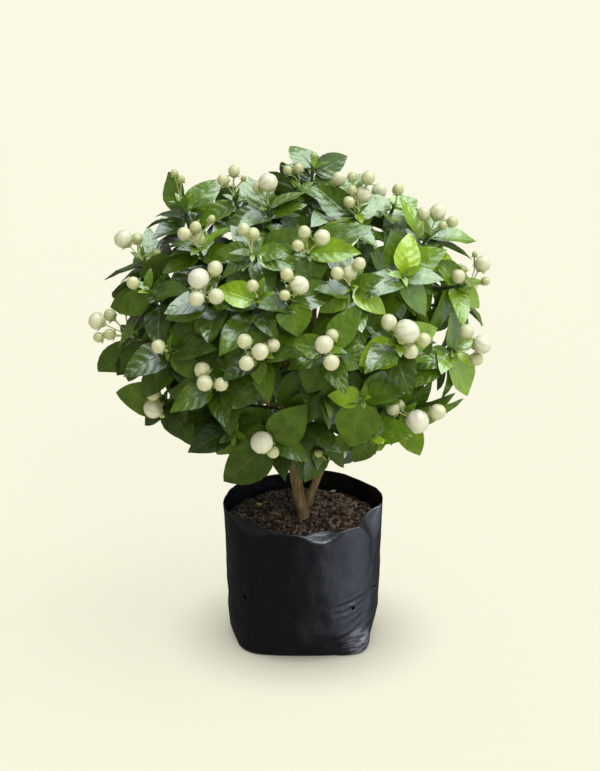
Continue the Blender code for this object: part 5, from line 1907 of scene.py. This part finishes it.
def rounded(path, radii):
    """A path in short steps with its corners eased, which keeps to the straight lines."""
    points = []
    sizes = []
    for i, (a, b) in enumerate(zip(path, path[1:])):
        steps = max(2, round((b - a).length / (5.0 * MM)))
        for step in range(steps):
            points.append(a.lerp(b, step / steps))
            sizes.append(radii[i] + (radii[i + 1] - radii[i]) * step / steps)
    points.append(path[-1].copy())
    sizes.append(radii[len(path) - 1])
    for _ in range(2):
        middle = [(a + b * 2.0 + c) / 4.0 for a, b, c in zip(points, points[1:], points[2:])]
        points = [points[0], *middle, points[-1]]
    return points, sizes


def foliage_of(name, number):
    """All leaves and stems of one leafy branch."""
    foliage = new_shape("tone", "upper")
    foliage.loops.layers.uv.new("blade")
    rng = random.Random(FOLIAGE_SEED + number)
    # Each group shifts the tone: the large leaves a little up, the young ones paler from youth, and the
    # extra pairs, which stand deeper, darker as painted shade.
    groups = (
        (leaves[name], full_blade, 0.08),
        (extra_leaves[name], plain_blade, -0.04),
        (young_leaves[name], young_blade, 0.14),
    )
    for group, blade, youth_and_shade in groups:
        for leaf in group:
            leaf.fold = LEAF_FOLD + rng.uniform(-0.06, 0.24)
            leaf.arch = LEAF_ARCH + rng.uniform(-0.05, 0.16)
            leaf.twist = rng.uniform(-0.45, 0.45)
            add_blade(foliage, leaf, blade, leaf_tone_and_light(rng, leaf, youth_and_shade), rng)
    for index, shoot in enumerate(branches[name]):
        path, sizes = rounded(shoot.path, [radius * MM for radius in SHOOT_RADII])
        seed = STEM_SEED + 10 * number + index
        sizes = knotty(path, sizes, STEM_NODE_SPACING, 0.22, seed)
        join_into(foliage, tube_mesh("stem", path, sizes, STEM_SIDES), 1)
    return finished_mesh(name, foliage, False)


foliage_meshes = {name: foliage_of(name, number) for number, name in enumerate(branches)}
print("the foliage has", sum(len(mesh.polygons) for mesh in foliage_meshes.values()), "faces")

# %% [markdown]
# ### The leaf's finish
#
# The upper face is glossy and quilted: the side veins are sunk, and the blade bulges between them.
# That relief breaks the sky's reflection into pale patches, which is much of a jasmine's look. The
# finish works the veins out from the UV map: one midrib and a few side veins, which bend towards
# the tip. The lower face is paler and dull, and so are the old leaves low in the bush.

# %% Finish the leaves
SIDE_VEINS = 5.5
PALE_VEIN = (0.25, 0.36, 0.12)
LOWER_FACE = (0.16, 0.24, 0.09)

leaf = Finish("jasmine_leaf", Specular_IOR_Level=0.5, Coat_Weight=0.35, Coat_Roughness=0.17)
blade_map = leaf.split(leaf.add("ShaderNodeUVMap", uv_map="blade").outputs["UV"])
from_midrib = leaf.math("ABSOLUTE", leaf.math("MULTIPLY_ADD", blade_map[0], 2.0, -1.0))
bent = leaf.math("MULTIPLY", leaf.math("POWER", from_midrib, 1.35), 0.24)
climb = leaf.math("SUBTRACT", blade_map[1], bent)
# The wave is 1 on a side vein and -1 half-way between two.
wave = leaf.math("COSINE", leaf.math("MULTIPLY", climb, math.tau * SIDE_VEINS))
side_vein = leaf.between(wave, 0.80, 0.99)
midrib = leaf.between(from_midrib, 0.11, 0.02)
vein = leaf.math("MAXIMUM", leaf.math("MULTIPLY", side_vein, 0.25), midrib)

# The tone carries each leaf's age and youth, and the painted light and shade worked out in its build.
tone = leaf.math("ADD", leaf.attribute("tone"), leaf.wander(75.0, -0.07, 0.07, 4.0))
green = leaf.ramp(
    tone,
    (0.00, (0.020, 0.044, 0.003)),
    (0.30, (0.062, 0.120, 0.006)),
    (0.55, (0.125, 0.235, 0.009)),
    (0.78, (0.235, 0.395, 0.010)),
    (1.00, (0.370, 0.560, 0.012)),
)
pale = leaf.blend(0.45, green, PALE_VEIN)
green = leaf.blend(leaf.math("MULTIPLY", vein, 0.26), green, pale)
upper = leaf.math("GREATER_THAN", leaf.attribute("upper"), 0.47)
green = leaf.blend(upper, leaf.blend(0.38, green, LOWER_FACE), green)

# The lower face is duller, and so is an old leaf low in the bush.
dullness = leaf.math("MULTIPLY_ADD", upper, -0.26, 0.26)
roughness = leaf.math("ADD", leaf.wander(140.0, 0.22, 0.34), dullness)
old_leaf = leaf.between(leaf.split(leaf.place)[2], 0.26, 0.42, 0.07, 0.0)
roughness = leaf.math("ADD", roughness, old_leaf)

bulge = leaf.between(wave, 1.0, -1.0)
bulge = leaf.math("SUBTRACT", bulge, leaf.math("MULTIPLY", midrib, 1.2))
quilting = leaf.relief(bulge, 0.0011, 0.27)
quilting = leaf.relief(leaf.noise(85.0, 2.0), 0.0030, 0.40, quilting)
quilting = leaf.relief(leaf.noise(230.0), 0.0008, 0.40, quilting)
leaf.surface(green, roughness, quilting)
print("the leaf's finish has", len(leaf.tree.nodes), "nodes")

# %% Dress the foliage
STEM_GREENS = ((0.130, 0.215, 0.035), (0.260, 0.360, 0.080))

green_stem = two_tone(
    "green_stem", 0.4, STEM_GREENS, (40.0,), (90.0, 0.4, 0.6), (420.0, 0.0004, 0.4)
)
for number, (name, mesh) in enumerate(foliage_meshes.items(), 1):
    finishes = [leaf.material, green_stem]
    dress(f"foliage_{name}", mesh, finishes, "leaf", f"leafy_branch_{number:02d}")
    mesh.set_sharp_from_angle(angle=math.radians(70.0))
print("the foliage is dressed")

# %% [markdown]
# ## The buds
#
# The buds are the plant's ornament: fat cream balls of tightly wound petals, three to five to a
# cluster, each on a short stalk with a green calyx of narrow teeth. The petals overlap like the
# turns of a screw. A ball gives that when its meridians are twisted and every few of them step
# outwards, so each petal stands a little proud of the next. The bigger a bud is, the riper and
# whiter it is, and small ones are greener and shaped more like an egg.

# %% Where the buds are
KNOB_RADIUS = 1.4 * MM
KNOB_LENGTH = 4 * MM
HUB_DEPTH = 1.2 * MM
STALK_RADIUS = 0.75 * MM
BUD_REACH = 11 * MM
BUD_CLEARANCE = 0.4 * MM


def bud_places(shoot):
    """Centre and diameter of each bud. A later bud moves back until it clears those before it."""
    placed = []

    def touches(centre, diameter):
        for other, wide in placed:
            if (centre - other).length < (diameter + wide) / 2.0 + BUD_CLEARANCE:
                return True
        return False

    for right, up, size in shoot.buds:
        centre = shoot.tip + (shoot.right * right + shoot.up * up) * MM + shoot.facing * BUD_REACH
        while touches(centre, size * MM):
            centre -= shoot.facing * MM
        placed.append((centre, size * MM))
    return placed


budding = [shoot for shoot in all_shoots if shoot.buds]
print(len(budding), "clusters hold", sum(len(shoot.buds) for shoot in budding), "buds")

# %% Make one bud
LARGE_BUD = 17.0 * MM
RIPE_FROM = 6.0 * MM
RIPE_AT = 21.0 * MM
# Sizes for a large and a small bud: columns, rows, petals and how far a petal stands proud.
BUD_SHAPES = {True: (36, 20, 6, 0.065), False: (20, 12, 4, 0.040)}
BUD_LAYERS = ("ripe", "foot", "seam_shade")


def bud_mesh(rng, centre, diameter, axis):
    """A ball of overlapping petals with its foot towards the stalk."""
    large = diameter > LARGE_BUD
    columns, rows, petals, step = BUD_SHAPES[large]
    ripe = clamped((diameter - RIPE_FROM) / (RIPE_AT - RIPE_FROM))
    shape = new_shape(*BUD_LAYERS)
    ripeness, foot, seam_shade = (shape.verts.layers.float[name] for name in BUD_LAYERS)
    bmesh.ops.create_uvsphere(shape, u_segments=columns, v_segments=rows, radius=1.0)
    twist = rng.uniform(0.9, 1.3)
    spin = rng.uniform(0.0, math.tau)
    for corner in shape.verts:
        up = corner.co.z
        angle = math.atan2(corner.co.y, corner.co.x)
        turn = (petals * angle / math.tau) % 1.0
        proud = step * (turn - 0.5) * float(hill(up * 0.93))
        # A ripe bud is a little flat on top, and a small one comes to a point.
        pole = 0.06 * hill((1.0 - up) / 0.35) if large else -0.05 * hill((1.0 - up) / 0.5)
        neck = float(ease((-0.35 - up) / 0.65))
        wide = 1.0 + proud - 0.30 * (1.0 - 0.6 * ripe) * neck
        along = up * (1.0 - float(pole)) * (1.0 + 0.02 * (1.0 - ripe))
        reach = math.hypot(corner.co.x, corner.co.y) * wide
        bearing = angle + twist * up + spin
        corner.co = (reach * math.cos(bearing), reach * math.sin(bearing), along)
        corner[ripeness] = clamped(ripe + rng.uniform(-0.01, 0.01))
        corner[foot] = float(ease((-0.15 - up) / 0.8))
        # The seam band lies in the low step where a petal tucks under the next one; the finish darkens
        # it there as painted shade.
        in_seam = turn * petals < 1.2 * petals * petals / columns
        corner[seam_shade] = float(in_seam) * float(hill(up * 0.9))
    size = Matrix.Diagonal((diameter / 2.0, diameter / 2.0, diameter / 2.0, 1.0))
    place = Matrix.Translation(centre) @ turn_to(axis) @ size
    bmesh.ops.transform(shape, matrix=place, verts=shape.verts)
    return finished_mesh("bud", shape)


print("buds of more than", round(LARGE_BUD / MM), "mm are ripe")

# %% Make a stalk with its calyx
CALYX_TEETH = 7
TOOTH_RADII = (0.62 * MM, 0.55 * MM, 0.10 * MM)


def stalk_mesh(hub, heading, foot):
    """A smooth stalk from the cluster's hub to the foot of a bud."""
    length = (foot - hub).length
    bend = heading * length * 0.10 + UP * length * 0.03
    points = [hub, hub.lerp(foot, 0.4) + bend, hub.lerp(foot, 0.75) + bend * 0.4, foot]
    radii = [STALK_RADIUS * share for share in (1.0, 0.9, 1.0, 1.5)]
    return tube_mesh("stalk", *flowing(points, radii, 3), 1)


def cup_mesh(centre, axis, diameter, wide):
    """The cup of a calyx, under a bud."""
    cup = new_shape()
    bmesh.ops.create_uvsphere(cup, u_segments=10, v_segments=6, radius=wide)
    place = Matrix.Translation(centre - axis * diameter * 0.44) @ turn_to(axis)
    place = place @ Matrix.Diagonal((1.0, 1.0, 0.72, 1.0))
    bmesh.ops.transform(cup, matrix=place, verts=cup.verts)
    return finished_mesh("calyx", cup)


def tooth_mesh(rng, centre, axis, diameter, wide, angle):
    """A narrow tooth of the calyx, which lies against the bud."""
    out = turn_to(axis).to_3x3() @ Vector((math.cos(angle), math.sin(angle), 0.0))
    base = centre - axis * diameter * 0.43 + out * wide * 0.75
    low = math.radians(-rng.uniform(18.0, 40.0))
    reach = diameter * 0.5 + rng.uniform(0.4, 2.6) * MM
    end = centre + (out * math.cos(low) + axis * math.sin(low)) * reach
    knee = base.lerp(end, 0.5) + out * 0.12 * diameter
    return tube_mesh("tooth", [base, knee, end], TOOTH_RADII)


def knob_mesh(root, axis):
    """The short thick end that all stalks of a cluster leave from."""
    points = [root + axis * KNOB_LENGTH * share for share in (0.0, 0.3, 0.7, 1.0, 1.08)]
    radii = [KNOB_RADIUS * share for share in (1.0, 0.95, 1.1, 0.8, 0.3)]
    return tube_mesh("knob", points, radii, 2)


print("a calyx has", CALYX_TEETH, "teeth")

# %% Put the clusters together
BUD_SEED = 6000


def cluster_of(shoot, number):
    """The knob of a shoot, and each bud with its stalk, cup and teeth."""
    rng = random.Random(BUD_SEED + number)
    cluster = new_shape(*BUD_LAYERS)
    root = shoot.tip + shoot.end_heading * GAP
    hub = root + shoot.end_heading * (KNOB_LENGTH - HUB_DEPTH)
    join_into(cluster, knob_mesh(root, shoot.end_heading), 1)
    for centre, diameter in bud_places(shoot):
        axis = (centre - hub).normalized()
        join_into(cluster, bud_mesh(rng, centre, diameter, axis))
        join_into(cluster, stalk_mesh(hub, shoot.end_heading, centre - axis * diameter * 0.46), 1)
        wide = 0.17 * diameter + 0.5 * MM
        join_into(cluster, cup_mesh(centre, axis, diameter, wide), 1)
        spin = rng.uniform(0.0, math.tau)
        for tooth in range(CALYX_TEETH):
            angle = spin + math.tau * tooth / CALYX_TEETH
            join_into(cluster, tooth_mesh(rng, centre, axis, diameter, wide, angle), 1)
    return cluster


clusters = [cluster_of(shoot, number) for number, shoot in enumerate(budding)]
print("the clusters have", sum(len(cluster.faces) for cluster in clusters), "faces")

# %% [markdown]
# ### The bud's finish
#
# Petals are matt and slightly waxy. The colour goes from a greenish cream on small buds to a warm
# white on ripe ones, and each is greener at its foot. The step where one petal tucks under the next
# is darkened as painted shade. Fine lengthwise veins give a soft relief. The stalks and the calyx
# are a bright yellow-green.

# %% Finish the clusters
FOOT_GREEN = (0.33, 0.40, 0.12)
BLUSH = (0.63, 0.60, 0.34)
# The colour of the painted shade in each petal's step.
SEAM_SHADE = (0.36, 0.34, 0.17)
CALYX_GREENS = ((0.26, 0.38, 0.040), (0.46, 0.56, 0.10))

petal = Finish("cream_petal", Specular_IOR_Level=0.4, Sheen_Weight=0.15, Sheen_Roughness=0.4)
ripe = petal.math("ADD", petal.attribute("ripe"), petal.wander(160.0, -0.06, 0.06))
cream_white = petal.ramp(
    ripe,
    (0.00, (0.42, 0.48, 0.17)),
    (0.30, (0.56, 0.57, 0.27)),
    (0.60, (0.67, 0.67, 0.41)),
    (1.00, (0.77, 0.76, 0.59)),
)
blush = petal.between(petal.noise(70.0), 0.45, 0.75)
layers = ((petal.attribute("foot"), 0.65, FOOT_GREEN), (blush, 0.25, BLUSH))
for share, strength, colour in (*layers, (petal.attribute("seam_shade"), 0.22, SEAM_SHADE)):
    cream_white = petal.blend(petal.math("MULTIPLY", share, strength), cream_white, colour)
petal_relief = petal.relief(petal.noise(420.0), 0.0004, 0.35)
petal_relief = petal.relief(petal.noise(120.0, 2.0), 0.0008, 0.25, petal_relief)
petal.surface(cream_white, petal.wander(200.0, 0.42, 0.6), petal_relief)
calyx_green = two_tone(
    "calyx_green", 0.4, CALYX_GREENS, (110.0,), (90.0, 0.38, 0.55), (500.0, 0.0003, 0.4)
)
for number, cluster in enumerate(clusters, 1):
    node = f"bud_cluster_{number:02d}"
    mesh = finished_mesh(node, cluster, False)
    dress(f"buds_{number:02d}", mesh, [petal.material, calyx_green], "bud", node)
    mesh.set_sharp_from_angle(angle=math.radians(50.0))
print("the buds are dressed")

# %% [markdown]
# ## The size
#
# The box of the visual model is measured here, without the floor, and its size is printed.
# The visual model has to stay within the frame's box, give or take what soft leaves may stand
# proud.

# %% Measure the visual box
for mesh in (*COARSE_BLADES.values(), full_blade[0], plain_blade[0], young_blade[0]):
    bpy.data.meshes.remove(mesh)
visual_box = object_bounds()
sizes = [round((high - low) / MM) for low, high in zip(*visual_box)]
print("the plant is", sizes, "mm wide, deep and high")
